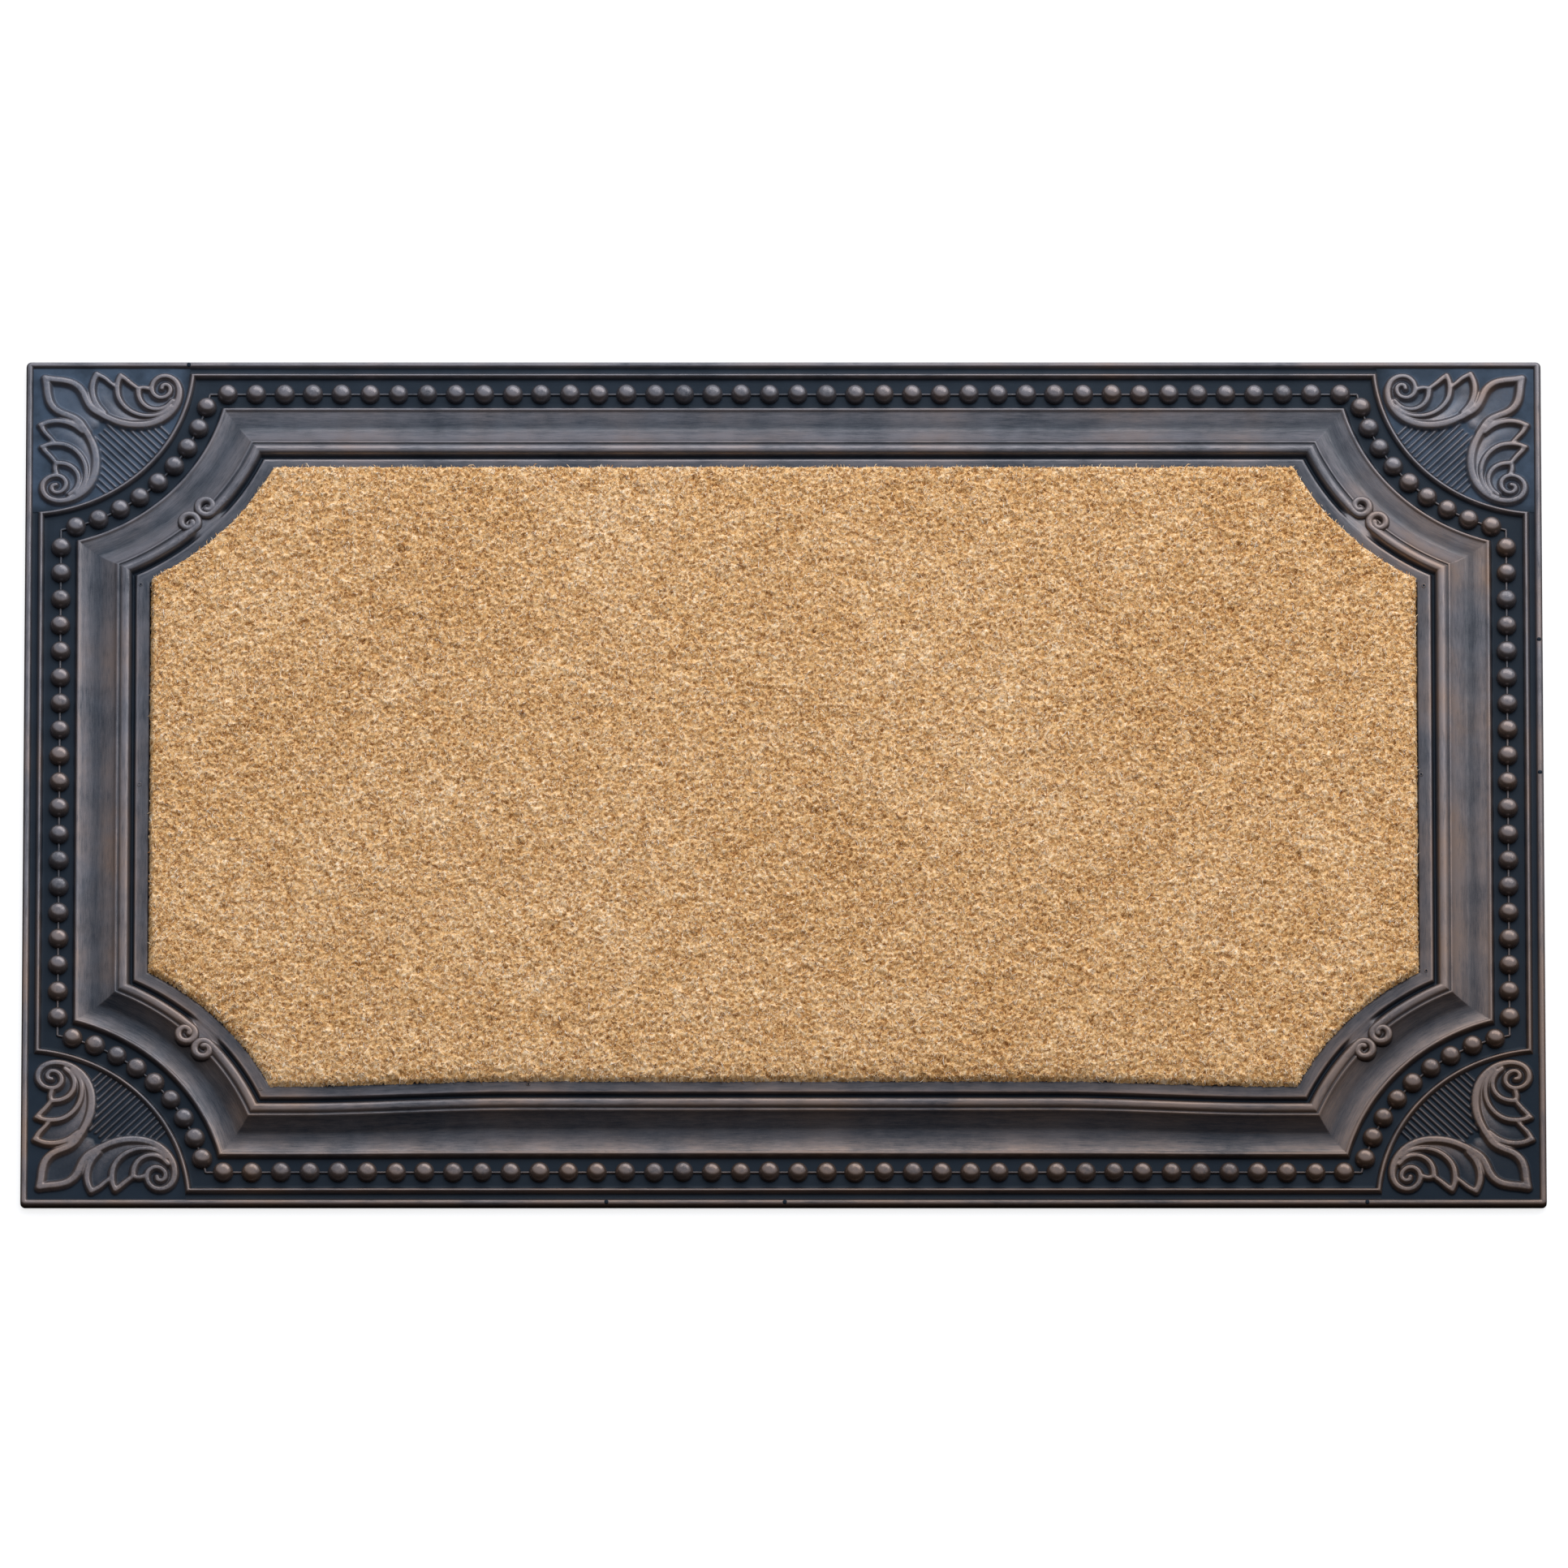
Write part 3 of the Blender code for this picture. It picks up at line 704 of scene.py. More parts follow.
def build_vents():
    verts, quads, tris, film = [], [], [], []
    n = 14
    prof = [(1.55, -0.25, 0.7), (1.45, 0.22, 0.9), (1.15, 0.42, 0.9), (0.85, 0.32, 0.3), (0.7, 0.08, 0.0), (0.3, 0.06, 0.0)]
    rng = np.random.default_rng(3)
    for x, y in VENTS:
        e = float(inset_of(np.array(x), np.array(y)))
        # keep each mark on the ledge
        if e < 73.5 or e > 78.0:
            u, v = HX - abs(x), HY - abs(y)
            shift = np.clip(e, 73.8, 77.6) - e
            if u < v and np.hypot(u, v) - ARC_BASE > u:
                x -= math.copysign(shift, x)
            else:
                y -= math.copysign(shift, y)
        base = len(verts)
        k = rng.uniform(0.75, 1.05)
        for r, h, f in prof:
            for t in range(n):
                a = 2 * math.pi * t / n
                rr = r * k * (1 + 0.08 * math.sin(2 * a + x))
                verts.append((x + rr * math.cos(a), y + float(near_bow(x, y)) + rr * math.sin(a), 12.36 + h))
                film.append(f)
        verts.append((x, y + float(near_bow(x, y)), 12.36 + 0.06))
        film.append(0.0)
        for i in range(len(prof) - 1):
            for t in range(n):
                t2 = (t + 1) % n
                quads.append((base + i * n + t, base + i * n + t2, base + (i + 1) * n + t2, base + (i + 1) * n + t))
        for t in range(n):
            tris.append((base + 5 * n + t, base + 5 * n + (t + 1) % n, base + 6 * n))
    for x, y in NICKS:
        base = len(verts)
        for r, h in ((1.5, -0.8), (1.4, -0.05), (0.9, 0.12)):
            for t in range(n):
                a = 2 * math.pi * t / n
                verts.append((x + r * math.cos(a), y + r * math.sin(a), 5.85 + h))
                film.append(0.0)
        verts.append((x, y, 5.85 + 0.14))
        film.append(0.0)
        for i in range(2):
            for t in range(n):
                t2 = (t + 1) % n
                quads.append((base + i * n + t, base + i * n + t2, base + (i + 1) * n + t2, base + (i + 1) * n + t))
        for t in range(n):
            tris.append((base + 2 * n + t, base + 2 * n + (t + 1) % n, base + 3 * n))
    return mesh_object("vent_marks", verts, [np.array(quads), np.array(tris)],
                       floats={"film": film}, vectors={"flow": np.array(verts) * MM})


# ---- coir ---------------------------------------------------------------------
CELL = 0.9
RNG = np.random.default_rng(2024)
NX = int((2 * (HX - PANEL_E) + 9.0) / CELL) + 3
NY = int((2 * (HY - PANEL_E) + 9.0) / CELL) + 3
X0, Y0 = -(NX - 1) * CELL / 2, -(NY - 1) * CELL / 2
TUFT = 0.24 * blur_noise((NY, NX), 1.9, RNG) + 0.85 * blur_noise((NY, NX), 0.42, RNG)
SLOW = blur_noise((NY, NX), 28.0, RNG)
TONE = blur_noise((NY, NX), 0.45, RNG)
CLOUD = 0.6 * blur_noise((NY, NX), 8.0, RNG) + 0.5 * blur_noise((NY, NX), 45.0, RNG)
RAG = blur_noise((NY, NX), 3.0, RNG)


def splay(y):
    """How far the pile leans out over the ledge along Y: most at the far side."""
    return 3.3 * smoothstep(60.0, 150.0, y) - 1.7 * smoothstep(90.0, 190.0, -y)


def inside_cut(x, y):
    """How far inside the cut edge of the coir. It fills the recess to its walls."""
    return inset_of(x, y - near_bow(x, y) - splay(y)) - PANEL_E + 0.45


def pile_edge(x, y):
    """How far inside the cut edge of the coir, with its ragged outline."""
    return inside_cut(x, y) + 0.20 * sample(RAG, (x - X0) / CELL, (y - Y0) / CELL)


def pile_height(x, y):
    d = pile_edge(x, y)
    fx, fy = (x - X0) / CELL, (y - Y0) / CELL
    t = sample(TUFT, fx, fy)
    s = sample(SLOW, fx, fy)
    roll = np.clip(d / 2.4, 0, 1)
    shape = (1 - (1 - roll) ** 2.4)
    near = smoothstep(60.0, 170.0, -y)
    top = PILE_TOP - 0.75 + 0.80 * np.clip(t, -2.2, 1.4) + 0.08 * s - (0.9 + 2.3 * near) * np.exp(-np.clip(d, 0, None) / (5.0 + 2.0 * near))
    foot = 9.5 + 2.6 * near
    return foot + (top - foot) * shape


def build_pile_tile(name, ix0, ix1, iy0, iy1):
    xs = X0 + np.arange(ix0, ix1 + 1) * CELL
    ys = Y0 + np.arange(iy0, iy1 + 1) * CELL
    x, y = np.meshgrid(xs, ys)
    keep = inside_cut(x, y) > -0.6
    inner = (ix0 + np.arange(x.shape[1]))[None, :].repeat(x.shape[0], 0)
    iyy = (iy0 + np.arange(x.shape[0]))[:, None].repeat(x.shape[1], 1)
    # a random sideways shift of each point breaks up the grid
    rng_x = JIT[0][iyy, inner] * 0.30
    rng_y = JIT[1][iyy, inner] * 0.30
    xj, yj = x + rng_x, y + rng_y
    z = pile_height(xj, yj)
    idx = -np.ones(x.shape, int)
    idx[keep] = np.arange(keep.sum())
    a, b, c, dd = idx[:-1, :-1], idx[:-1, 1:], idx[1:, 1:], idx[1:, :-1]
    ok = (a >= 0) & (b >= 0) & (c >= 0) & (dd >= 0)
    quads = np.column_stack([a[ok], b[ok], c[ok], dd[ok]])
    verts = np.column_stack([xj[keep], yj[keep], z[keep]])
    # the tone follows the pile's height field as well as random tone: painted shade, darker in the low places between
    # tufts
    tone_and_hollow_shade = (0.6 * TONE[iyy, inner] + 0.55 * TUFT[iyy, inner])[keep]
    cloud = CLOUD[iyy, inner][keep]
    uu = (x - xs[0]) / (xs[-1] - xs[0])
    vv = (y - ys[0]) / (ys[-1] - ys[0])
    uv = np.column_stack([uu[keep], vv[keep]])[quads.ravel()]
    return mesh_object(name, verts, [quads], floats={"tone_and_hollow_shade": tone_and_hollow_shade, "cloud": cloud, "low": np.zeros(len(verts))}, uv=uv)


JIT = [np.clip(RNG.standard_normal((NY, NX)), -1.6, 1.6) for _ in range(2)]

FIBRE_CELLS = 48


def build_fibres(name, x_lo, x_hi, y_lo, y_hi, count, rng):
    x = rng.uniform(x_lo, x_hi, count)
    y = rng.uniform(y_lo, y_hi, count)
    d = pile_edge(x, y)
    ok = d > 0.3
    x, y, d = x[ok], y[ok], d[ok]
    n = len(x)
    # the cut ends lie every way, a little more of them along Y
    ang = rng.uniform(0, 2 * math.pi, n)
    ang = np.where(rng.random(n) < 0.45, math.pi / 2 + rng.normal(0, 0.55, n), ang)
    length = rng.gamma(2.0, 0.52, n) + 0.8
    long_ones = rng.random(n) < 0.06
    length = np.where(long_ones, rng.uniform(4.0, 8.5, n), np.clip(length, 1.0, 4.2))
    bend = rng.normal(0, 0.42, n)
    radius = rng.uniform(0.16, 0.31, n)
    lift = rng.uniform(-0.15, 0.75, n)
    tilt = np.where(long_ones, 0.07, 0.30) * rng.standard_normal(n)
    steps = 4
    pts = []
    px, py = x - np.cos(ang) * length / 2, y - np.sin(ang) * length / 2
    a = ang - bend
    pts.append((px.copy(), py.copy()))
    for k in range(steps - 1):
        px = px + np.cos(a) * length / (steps - 1)
        py = py + np.sin(a) * length / (steps - 1)
        a = a + bend
        pts.append((px.copy(), py.copy()))
    P = np.array(pts)                                   # steps, 2, n
    # ends near or past the cut edge are held up near 16 mm, lower along the near side and the further they reach out
    dd = pile_edge(P[:, 0], P[:, 1])
    z = np.empty((steps, n))
    for k in range(steps):
        zz = pile_height(P[k, 0], P[k, 1])
        hang = np.clip(-dd[k], 0, 3)
        z[k] = np.where(dd[k] < 0.2, np.maximum(zz, 16.2 - 2.2 * smoothstep(60.0, 170.0, -P[k, 1]) - 1.1 * hang), zz)
    z += lift[None, :] + (np.linspace(-0.5, 0.5, steps)[:, None] * length[None, :]) * tilt[None, :]
    arch = np.array([-0.35, 0.12, 0.12, -0.35])[:, None] * 0.8
    z += arch
    z = np.minimum(z, PILE_TOP + 1.6)
    C = np.stack([P[:, 0], P[:, 1], z], -1)              # steps, n, 3
    # end points, and two triangular rings between
    t = C[2] - C[1]
    t /= np.linalg.norm(t, axis=1)[:, None]
    side = np.column_stack([-t[:, 1], t[:, 0], np.zeros(n)])
    side /= np.linalg.norm(side, axis=1)[:, None]
    up = np.cross(side, t)
    up = np.where(up[:, 2:3] < 0, -up, up)
    verts = np.empty((n, 8, 3))
    verts[:, 0] = C[0]
    verts[:, 7] = C[3]
    for r, k in ((1, 1), (4, 2)):
        for q, (s, h) in enumerate(((-0.9, -0.45), (0.9, -0.45), (0.0, 1.0))):
            verts[:, r + q] = C[k] + side * (radius * s)[:, None] + up * (radius * h)[:, None]
    tris = np.array([(0, 2, 1), (0, 3, 2), (0, 1, 3), (7, 4, 5), (7, 5, 6), (7, 6, 4)])
    quads = np.array([(1, 2, 5, 4), (2, 3, 6, 5), (3, 1, 4, 6)])
    base = (np.arange(n) * 8)[:, None, None]
    T = (base + tris[None]).reshape(-1, 3)
    Q = (base + quads[None]).reshape(-1, 4)
    # palette map: each fibre wears one cell, along it from left to right
    cell = rng.integers(0, FIBRE_CELLS * FIBRE_CELLS, n)
    cu, cv = (cell % FIBRE_CELLS) / FIBRE_CELLS, (cell // FIBRE_CELLS) / FIBRE_CELLS
    w = 1 / FIBRE_CELLS
    loc = np.array([(0.12, 0.5), (0.35, 0.15), (0.35, 0.85), (0.35, 0.5), (0.65, 0.15), (0.65, 0.85), (0.65, 0.5), (0.88, 0.5)])
    # the third corner of each ring sits off the line so that no face is a line
    loc[3] = (0.42, 0.5)
    loc[6] = (0.58, 0.5)
    uvv = np.stack([cu[:, None] + w * loc[None, :, 0], cv[:, None] + w * loc[None, :, 1]], -1)
    uvv = uvv.reshape(-1, 2)
    uv = np.vstack([uvv[T.ravel()], uvv[Q.ravel()]])
    obj = mesh_object(name, verts.reshape(-1, 3), [T, Q], uv=uv)
    return obj


# ---- materials ------------------------------------------------------------------
def material(name):
    m = bpy.data.materials.new(name)
    m.use_nodes = True
    nt = m.node_tree
    nt.nodes.clear()
    out = nt.nodes.new("ShaderNodeOutputMaterial")
    bsdf = nt.nodes.new("ShaderNodeBsdfPrincipled")
    nt.links.new(bsdf.outputs[0], out.inputs[0])
    return m, nt, bsdf


def node(nt, kind, **values):
    n = nt.nodes.new(kind)
    for k, v in values.items():
        setattr(n, k, v)
    return n


def noise(nt, vector, scale, detail=4.0, rough=0.55):
    n = node(nt, "ShaderNodeTexNoise")
    n.inputs["Scale"].default_value = scale
    n.inputs["Detail"].default_value = detail
    n.inputs["Roughness"].default_value = rough
    if vector is not None:
        nt.links.new(vector, n.inputs["Vector"])
    return n.outputs["Fac"]


def maths(nt, op, a, b=None, clamp=False):
    n = node(nt, "ShaderNodeMath", operation=op, use_clamp=clamp)
    for k, v in enumerate((a, b)):
        if v is None:
            continue
        if isinstance(v, (int, float)):
            n.inputs[k].default_value = v
        else:
            nt.links.new(v, n.inputs[k])
    return n.outputs[0]


def span(nt, x, a, b, c, d, clamp=True):
    n = node(nt, "ShaderNodeMapRange", clamp=clamp)
    nt.links.new(x, n.inputs["Value"])
    for k, v in zip(("From Min", "From Max", "To Min", "To Max"), (a, b, c, d)):
        n.inputs[k].default_value = v
    return n.outputs[0]


def mix_colour(nt, fac, a, b, kind="MIX"):
    n = node(nt, "ShaderNodeMix", data_type="RGBA", blend_type=kind)
    if isinstance(fac, (int, float)):
        n.inputs[0].default_value = fac
    else:
        nt.links.new(fac, n.inputs[0])
    for k, v in ((6, a), (7, b)):
        if isinstance(v, tuple):
            n.inputs[k].default_value = (*v, 1.0)
        else:
            nt.links.new(v, n.inputs[k])
    return n.outputs[2]


def bronzed_rubber():
    m, nt, bsdf = material("bronzed_rubber_look")
    coord = node(nt, "ShaderNodeTexCoord").outputs["Object"]
    film = node(nt, "ShaderNodeAttribute", attribute_name="film").outputs["Fac"]
    flow = node(nt, "ShaderNodeAttribute", attribute_name="flow").outputs["Vector"]
    cloud = noise(nt, coord, 16.0, 4.0, 0.55)
    patch = noise(nt, coord, 62.0, 3.0, 0.55)
    streak = noise(nt, flow, 420.0, 3.0, 0.6)
    grain = noise(nt, coord, 1500.0, 2.0, 0.6)
    speck = noise(nt, coord, 2600.0, 2.0, 0.5)
    split = node(nt, "ShaderNodeSeparateXYZ")
    nt.links.new(coord, split.inputs[0])
    brush = noise(nt, flow, 1350.0, 3.0, 0.65)
    # how much bronze film is left
    rub = maths(nt, "ADD", span(nt, cloud, 0.3, 0.7, -0.38, 0.24), span(nt, patch, 0.3, 0.7, -0.22, 0.18))
    rub = maths(nt, "ADD", rub, span(nt, streak, 0.3, 0.7, -0.22, 0.20))
    rub = maths(nt, "ADD", rub, span(nt, brush, 0.3, 0.7, -0.26, 0.24))
    rub = maths(nt, "ADD", rub, span(nt, speck, 0.58, 0.70, 0.0, 0.42))
    # more film along the right end, fading out towards its near corner: painted light, lighter where light from the
    # right falls
    right_side_light = maths(nt, "MULTIPLY", span(nt, split.outputs["X"], 0.30, 0.42, 0.0, 0.20), span(nt, split.outputs["Y"], -0.27, -0.12, 0.0, 1.0))
    rub = maths(nt, "ADD", rub, right_side_light)
    rub = maths(nt, "MULTIPLY", rub, film)
    cover = maths(nt, "ADD", film, rub, clamp=True)
    # painted light: towards the near side the film turns darker and browner, painted shade, and towards the far left
    # cooler and greyer, a painted sky reflection; random clouds also shift it between grey and brown
    painted_light_slope = maths(nt, "ADD", maths(nt, "MULTIPLY", split.outputs["Y"], -1.1), maths(nt, "MULTIPLY", split.outputs["X"], 0.35))
    warm_tone_and_shade = maths(nt, "ADD", span(nt, cloud, 0.38, 0.66, 0.0, 1.0, False), maths(nt, "MULTIPLY", painted_light_slope, 0.9), clamp=True)
    tint = mix_colour(nt, warm_tone_and_shade, (0.120, 0.104, 0.106), (0.172, 0.110, 0.076))
    tint = mix_colour(nt, span(nt, patch, 0.35, 0.7, 0.0, 0.50), tint, (0.102, 0.096, 0.106))
    tint = mix_colour(nt, span(nt, painted_light_slope, 0.08, 0.40, 0.0, 0.85), tint, (0.108, 0.068, 0.047))
    tint = mix_colour(nt, span(nt, painted_light_slope, -0.36, -0.02, 0.42, 0.0), tint, (0.112, 0.107, 0.121))
    # near-black rubber with a navy tint: the black is the rubber's own, the blue is a painted sky reflection
    rubber = mix_colour(nt, span(nt, cloud, 0.35, 0.65, 0.0, 1.0), (0.0036, 0.0080, 0.0145), (0.0058, 0.0108, 0.0175))
    # painted sky reflection: the rubber ground turns pale blue on the far panels and towards the far left, in patches
    sky_sheen = node(nt, "ShaderNodeAttribute", attribute_name="sky_sheen").outputs["Fac"]
    sky_sheen = maths(nt, "ADD", sky_sheen, span(nt, painted_light_slope, -0.50, 0.10, 0.16, 0.0))
    sky_sheen = maths(nt, "MULTIPLY", sky_sheen, span(nt, patch, 0.32, 0.68, 0.45, 1.15), clamp=True)
    rubber = mix_colour(nt, sky_sheen, rubber, (0.046, 0.070, 0.108))
    colour = mix_colour(nt, cover, rubber, tint)
    nt.links.new(colour, bsdf.inputs["Base Color"])
    nt.links.new(maths(nt, "MULTIPLY", cover, 0.62), bsdf.inputs["Metallic"])
    rough = maths(nt, "ADD", span(nt, streak, 0.3, 0.7, 0.26, 0.34), span(nt, cover, 0.0, 1.0, 0.05, 0.0))
    gloss = node(nt, "ShaderNodeAttribute", attribute_name="gloss").outputs["Fac"]
    rough = maths(nt, "SUBTRACT", rough, maths(nt, "MULTIPLY", gloss, 0.09))
    nt.links.new(rough, bsdf.inputs["Roughness"])
    nt.links.new(span(nt, cover, 0.0, 1.0, 0.11, 0.95), bsdf.inputs["Specular IOR Level"])
    bsdf.inputs["Specular Tint"].default_value = (0.76, 0.87, 1.0, 1)
    height = maths(nt, "ADD", maths(nt, "MULTIPLY", grain, 0.35), maths(nt, "MULTIPLY", streak, 0.45))
    height = maths(nt, "ADD", height, maths(nt, "ADD", maths(nt, "MULTIPLY", patch, 0.8), maths(nt, "MULTIPLY", brush, 0.30)))
    bump = node(nt, "ShaderNodeBump")
    bump.inputs["Strength"].default_value = 0.35
    bump.inputs["Distance"].default_value = 0.00022
    nt.links.new(height, bump.inputs["Height"])
    nt.links.new(bump.outputs[0], bsdf.inputs["Normal"])
    return m


def coir_surface():
    m, nt, bsdf = material("coir_pile_look")
    coord = node(nt, "ShaderNodeTexCoord").outputs["Object"]
    tone_and_hollow_shade = node(nt, "ShaderNodeAttribute", attribute_name="tone_and_hollow_shade").outputs["Fac"]
    cloud = node(nt, "ShaderNodeAttribute", attribute_name="cloud").outputs["Fac"]
    fine = noise(nt, coord, 1650.0, 3.0, 0.65)
    speck = noise(nt, coord, 330.0, 2.0, 0.5)
    # the pile's tone attribute is darker in its low places, painted shade between the tufts; the fine noise and clouds
    # are random tone
    t = maths(nt, "ADD", maths(nt, "MULTIPLY", tone_and_hollow_shade, 0.20), span(nt, fine, 0.3, 0.7, 0.25, 0.75, False))
    t = maths(nt, "ADD", t, maths(nt, "MULTIPLY", cloud, 0.045), clamp=True)
    ramp = node(nt, "ShaderNodeValToRGB")
    els = ramp.color_ramp.elements
    els[0].position, els[0].color = 0.05, (0.22, 0.080, 0.020, 1)
    els[1].position, els[1].color = 0.95, (0.98, 0.82, 0.62, 1)
    for p, c in ((0.28, (0.50, 0.250, 0.078)), (0.50, (0.74, 0.450, 0.190)), (0.75, (0.88, 0.63, 0.37))):
        k = els.new(p)
        k.color = (*c, 1)
    nt.links.new(t, ramp.inputs[0])
    red = span(nt, speck, 0.66, 0.74, 0.0, 0.45)
    colour = mix_colour(nt, red, ramp.outputs[0], (0.40, 0.16, 0.085))
    nt.links.new(colour, bsdf.inputs["Base Color"])
    bsdf.inputs["Roughness"].default_value = 0.85
    bsdf.inputs["Specular IOR Level"].default_value = 0.2
    bump = node(nt, "ShaderNodeBump")
    bump.inputs["Strength"].default_value = 0.7
    bump.inputs["Distance"].default_value = 0.0006
    nt.links.new(fine, bump.inputs["Height"])
    nt.links.new(bump.outputs[0], bsdf.inputs["Normal"])
    return m


def coir_fibre():
    m, nt, bsdf = material("coir_fibre_look")
    uv = node(nt, "ShaderNodeUVMap", uv_map="OFBake").outputs[0]
    scaled = node(nt, "ShaderNodeVectorMath", operation="SCALE")
    nt.links.new(uv, scaled.inputs[0])
    scaled.inputs["Scale"].default_value = FIBRE_CELLS
    floor = node(nt, "ShaderNodeVectorMath", operation="FLOOR")
    nt.links.new(scaled.outputs[0], floor.inputs[0])
    white = node(nt, "ShaderNodeTexWhiteNoise", noise_dimensions="2D")
    nt.links.new(floor.outputs[0], white.inputs["Vector"])
    ramp = node(nt, "ShaderNodeValToRGB")
    els = ramp.color_ramp.elements
    els[0].position, els[0].color = 0.0, (0.33, 0.120, 0.032, 1)
    els[1].position, els[1].color = 1.0, (1.0, 0.95, 0.85, 1)
    for p, c in ((0.13, (0.56, 0.265, 0.080)), (0.36, (0.78, 0.475, 0.200)), (0.62, (0.90, 0.635, 0.335)), (0.84, (0.99, 0.82, 0.60))):
        k = els.new(p)
        k.color = (*c, 1)
    nt.links.new(white.outputs["Value"], ramp.inputs[0])
    nt.links.new(ramp.outputs[0], bsdf.inputs["Base Color"])
    bsdf.inputs["Roughness"].default_value = 0.62
    bsdf.inputs["Specular IOR Level"].default_value = 0.35
    return m


def plain_look(name, a, b, scale, rough, bump_mm):
    m, nt, bsdf = material(name)
    coord = node(nt, "ShaderNodeTexCoord").outputs["Object"]
    f = noise(nt, coord, scale, 4.0, 0.6)
    nt.links.new(mix_colour(nt, span(nt, f, 0.3, 0.7, 0, 1), a, b), bsdf.inputs["Base Color"])
    nt.links.new(span(nt, f, 0.3, 0.7, rough - 0.08, rough + 0.08), bsdf.inputs["Roughness"])
    bump = node(nt, "ShaderNodeBump")
    bump.inputs["Strength"].default_value = 0.6
    bump.inputs["Distance"].default_value = bump_mm * MM
    nt.links.new(f, bump.inputs["Height"])
    nt.links.new(bump.outputs[0], bsdf.inputs["Normal"])
    return m


# ---- put together ------------------------------------------------------------------
rubber_look = bronzed_rubber()
coir_look = coir_surface()
fibre_look = coir_fibre()


def place(obj, look, slot, *nodes):
    obj.data.materials.append(look)
    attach(obj, "root")
    if nodes:
        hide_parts(*nodes)


place(build_tray(), rubber_look, "bronzed_rubber", "rubber_tray")
GRID = panel_grid()
panel_rng = np.random.default_rng(77)
# (label, side, side, how much pale-blue painted sky reflection lies on the rubber ground)
for label, sx, sy, sky_sheen in (("far_left", -1, 1, 0.95), ("far_right", 1, 1, 0.70), ("near_left", -1, -1, 0.10), ("near_right", 1, -1, 0.0)):
    place(build_panel("corner_scroll_" + label, sx, sy, GRID, panel_rng, sky_sheen), rubber_look, "bronzed_rubber")
for obj in build_beads():
    place(obj, rubber_look, "bronzed_rubber")
place(build_volutes(), rubber_look, "bronzed_rubber")
place(build_vents(), rubber_look, "bronzed_rubber")

TILES_X, TILES_Y = 4, 3
FIBRES = 16400
for tx in range(TILES_X):
    for ty in range(TILES_Y):
        ix0, ix1 = tx * (NX - 1) // TILES_X, (tx + 1) * (NX - 1) // TILES_X
        iy0, iy1 = ty * (NY - 1) // TILES_Y, (ty + 1) * (NY - 1) // TILES_Y
        tag = "%d_%d" % (tx + 1, ty + 1)
        tile = build_pile_tile("coir_pile_" + tag, ix0, ix1, iy0, iy1)
        if tx == 0 and ty == 0:
            place(tile, coir_look, "coir_fibre", "coir_pile")
        else:
            place(tile, coir_look, "coir_fibre")
        fib = build_fibres("coir_fibres_" + tag, X0 + ix0 * CELL, X0 + ix1 * CELL, Y0 + iy0 * CELL,
                           Y0 + iy1 * CELL, FIBRES, np.random.default_rng(100 + tx * 10 + ty))
        place(fib, fibre_look, "coir_fibre")


def build_backing():
    """The vinyl sheet under the pile, its cut edge eased by 0.15 mm at top and bottom."""
    lo, hi = [np.array(c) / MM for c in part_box("coir_backing")]
    z0, z1 = lo[2], hi[2]
    e = HX - hi[0]
    loops = []
    for de, z in ((0.15, z0), (0.0, z0 + 0.2), (0.0, z1 - 0.2), (0.15, z1)):
        pts = ring(corner_notched(e + de))
        loops.append(np.column_stack([pts, np.full(len(pts), z)]))
    n = len(loops[0])
    i = np.arange(n)
    quads = np.vstack([np.column_stack([k * n + i, k * n + (i + 1) % n, (k + 1) * n + (i + 1) % n, (k + 1) * n + i]) for k in range(3)])
    pts = loops[1][:, :2]
    x, y = pts[:, 0], pts[:, 1]
    area = 0.5 * abs(np.dot(x, np.roll(y, -1)) - np.dot(y, np.roll(x, -1)))
    obj = mesh_object("vinyl_backing_sheet", np.vstack(loops), [quads, i[::-1][None, :], (3 * n + i)[None, :]])
    return obj, (hi - lo)[:2] * MM, area * MM * MM


backing, flat_size, flat_area = build_backing()
place(backing, plain_look("vinyl_backing_look", (0.07, 0.055, 0.042), (0.12, 0.095, 0.07), 900.0, 0.7, 0.15),
      "vinyl_backing", "coir_backing")

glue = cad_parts["adhesive_film"]
look = plain_look("adhesive_look", (0.50, 0.43, 0.29), (0.70, 0.64, 0.48), 260.0, 0.35, 0.1)
glue.data.materials.clear() if not glue.material_slots else None
for s in glue.material_slots:
    s.material = look
if not glue.material_slots:
    glue.data.materials.append(look)

# ---- stage, light, camera ----------------------------------------------------------
bpy.ops.mesh.primitive_plane_add(size=60.0, location=(0, 0, -0.0002))
floor = bpy.context.object
floor.name = "floor"
fm, fnt, fb = material("floor_look")
fb.inputs["Base Color"].default_value = (0.36, 0.36, 0.36, 1)
fb.inputs["Roughness"].default_value = 0.9
fb.inputs["Specular IOR Level"].default_value = 0.1
fb.inputs["Emission Color"].default_value = (1, 1, 1, 1)
fb.inputs["Emission Strength"].default_value = 0.74
floor.data.materials.append(fm)
# the floor is lit but throws no light back up on the mat, like a dark room's floor
floor.visible_glossy = False
floor.visible_diffuse = False

scene = bpy.context.scene
scene.view_settings.view_transform = "Standard"
scene.view_settings.look = "None"
world = bpy.data.worlds.new("studio")
scene.world = world
world.use_nodes = True
wnt = world.node_tree
wnt.nodes.clear()
wout = wnt.nodes.new("ShaderNodeOutputWorld")
wbg = wnt.nodes.new("ShaderNodeBackground")
wnt.links.new(wbg.outputs[0], wout.inputs[0])
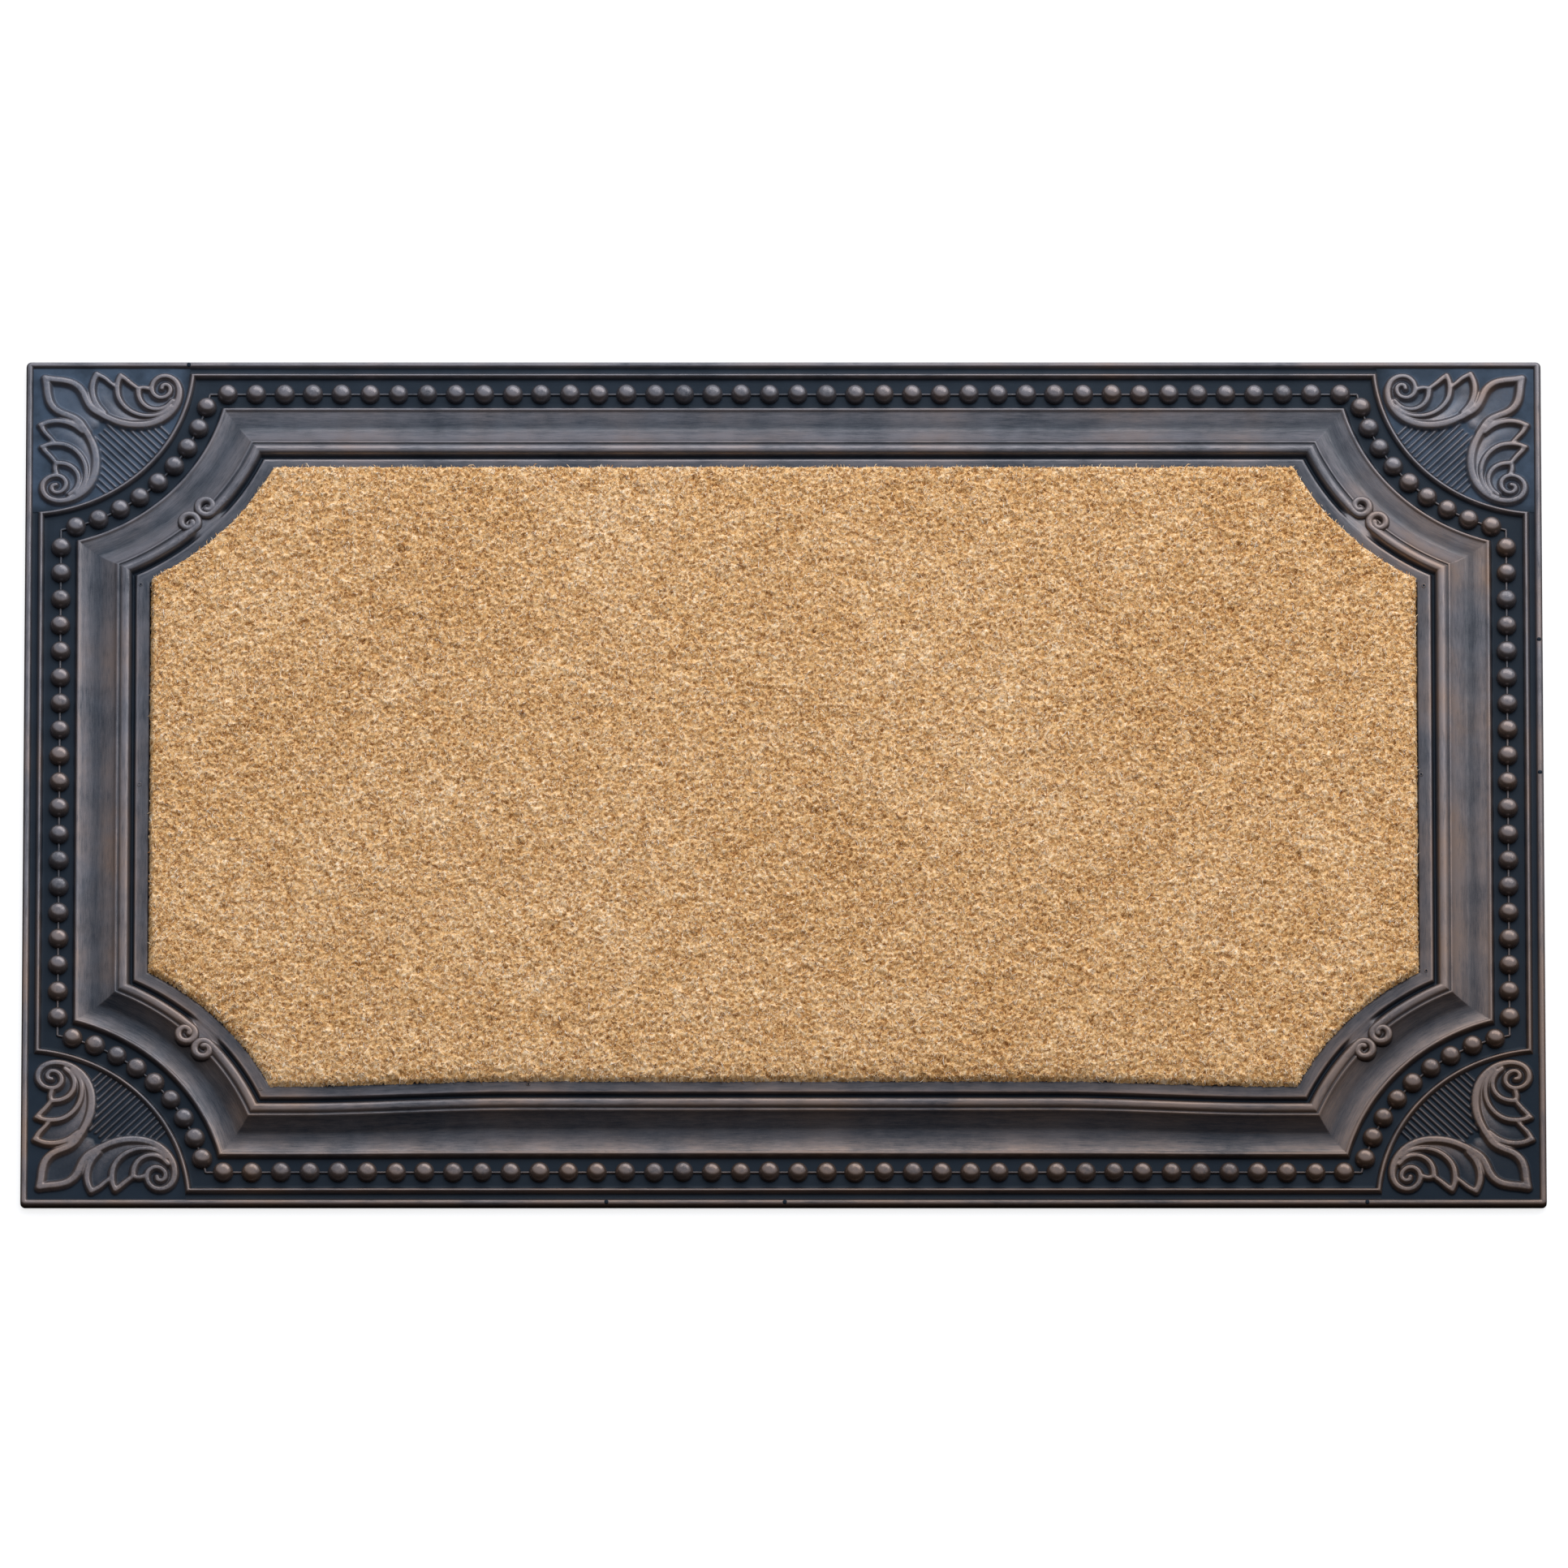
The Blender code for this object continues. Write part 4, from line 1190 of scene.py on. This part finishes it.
# a broad soft sky: bright and cool over the far side, dim and warm over the near side
way = node(wnt, "ShaderNodeTexCoord").outputs["Generated"]
dot = node(wnt, "ShaderNodeVectorMath", operation="DOT_PRODUCT")
wnt.links.new(way, dot.inputs[0])
dot.inputs[1].default_value = (0.16, 0.74, 0.65)
sky = node(wnt, "ShaderNodeValToRGB")
wnt.links.new(span(wnt, dot.outputs["Value"], -1.0, 1.0, 0.0, 1.0), sky.inputs[0])
els = sky.color_ramp.elements
els[0].position, els[0].color = 0.48, (0.026, 0.016, 0.010, 1)
els[1].position, els[1].color = 1.0, (1.42, 1.56, 1.80, 1)
for p, c in ((0.57, (0.045, 0.030, 0.021)), (0.63, (0.17, 0.135, 0.115)), (0.70, (0.80, 0.77, 0.78)), (0.82, (1.28, 1.33, 1.42))):
    k = els.new(p)
    k.color = (*c, 1)
wnt.links.new(sky.outputs[0], wbg.inputs[0])
wbg.inputs[1].default_value = 0.95
# seen directly, the surroundings are plain and pale
plain = wnt.nodes.new("ShaderNodeBackground")
plain.inputs[0].default_value = (0.97, 0.97, 0.97, 1)
path = wnt.nodes.new("ShaderNodeLightPath")
pick = wnt.nodes.new("ShaderNodeMixShader")
wnt.links.new(path.outputs["Is Camera Ray"], pick.inputs[0])
wnt.links.new(wbg.outputs[0], pick.inputs[1])
wnt.links.new(plain.outputs[0], pick.inputs[2])
wnt.links.new(pick.outputs[0], wout.inputs[0])


def area_light(name, at, aim, size, power, colour):
    data = bpy.data.lights.new(name, "AREA")
    data.shape = "RECTANGLE"
    data.size, data.size_y = size
    data.energy = power
    data.color = colour
    obj = bpy.data.objects.new(name, data)
    scene.collection.objects.link(obj)
    obj.location = at
    obj.rotation_euler = (Vector(aim) - Vector(at)).to_track_quat("-Z", "Y").to_euler()
    return obj


area_light("sky_key", (0.7, 2.0, 1.8), (0, 0, 0), (3.2, 1.8), 50.0, (1.0, 0.94, 0.86))

ELEV = math.radians(66.5)
DIST = 27.65
aim = Vector((0.0003, 0.0007, 0.0))
cam = bpy.data.objects.new("camera", bpy.data.cameras.new("camera"))
scene.collection.objects.link(cam)
cam.data.lens = 1000.0
cam.data.sensor_width = 36.0
cam.data.clip_start = 1.0
cam.data.clip_end = 100.0
cam.location = aim + Vector((0, -math.cos(ELEV), math.sin(ELEV))) * DIST
cam.rotation_euler = (aim - cam.location).to_track_quat("-Z", "Y").to_euler()
scene.camera = cam
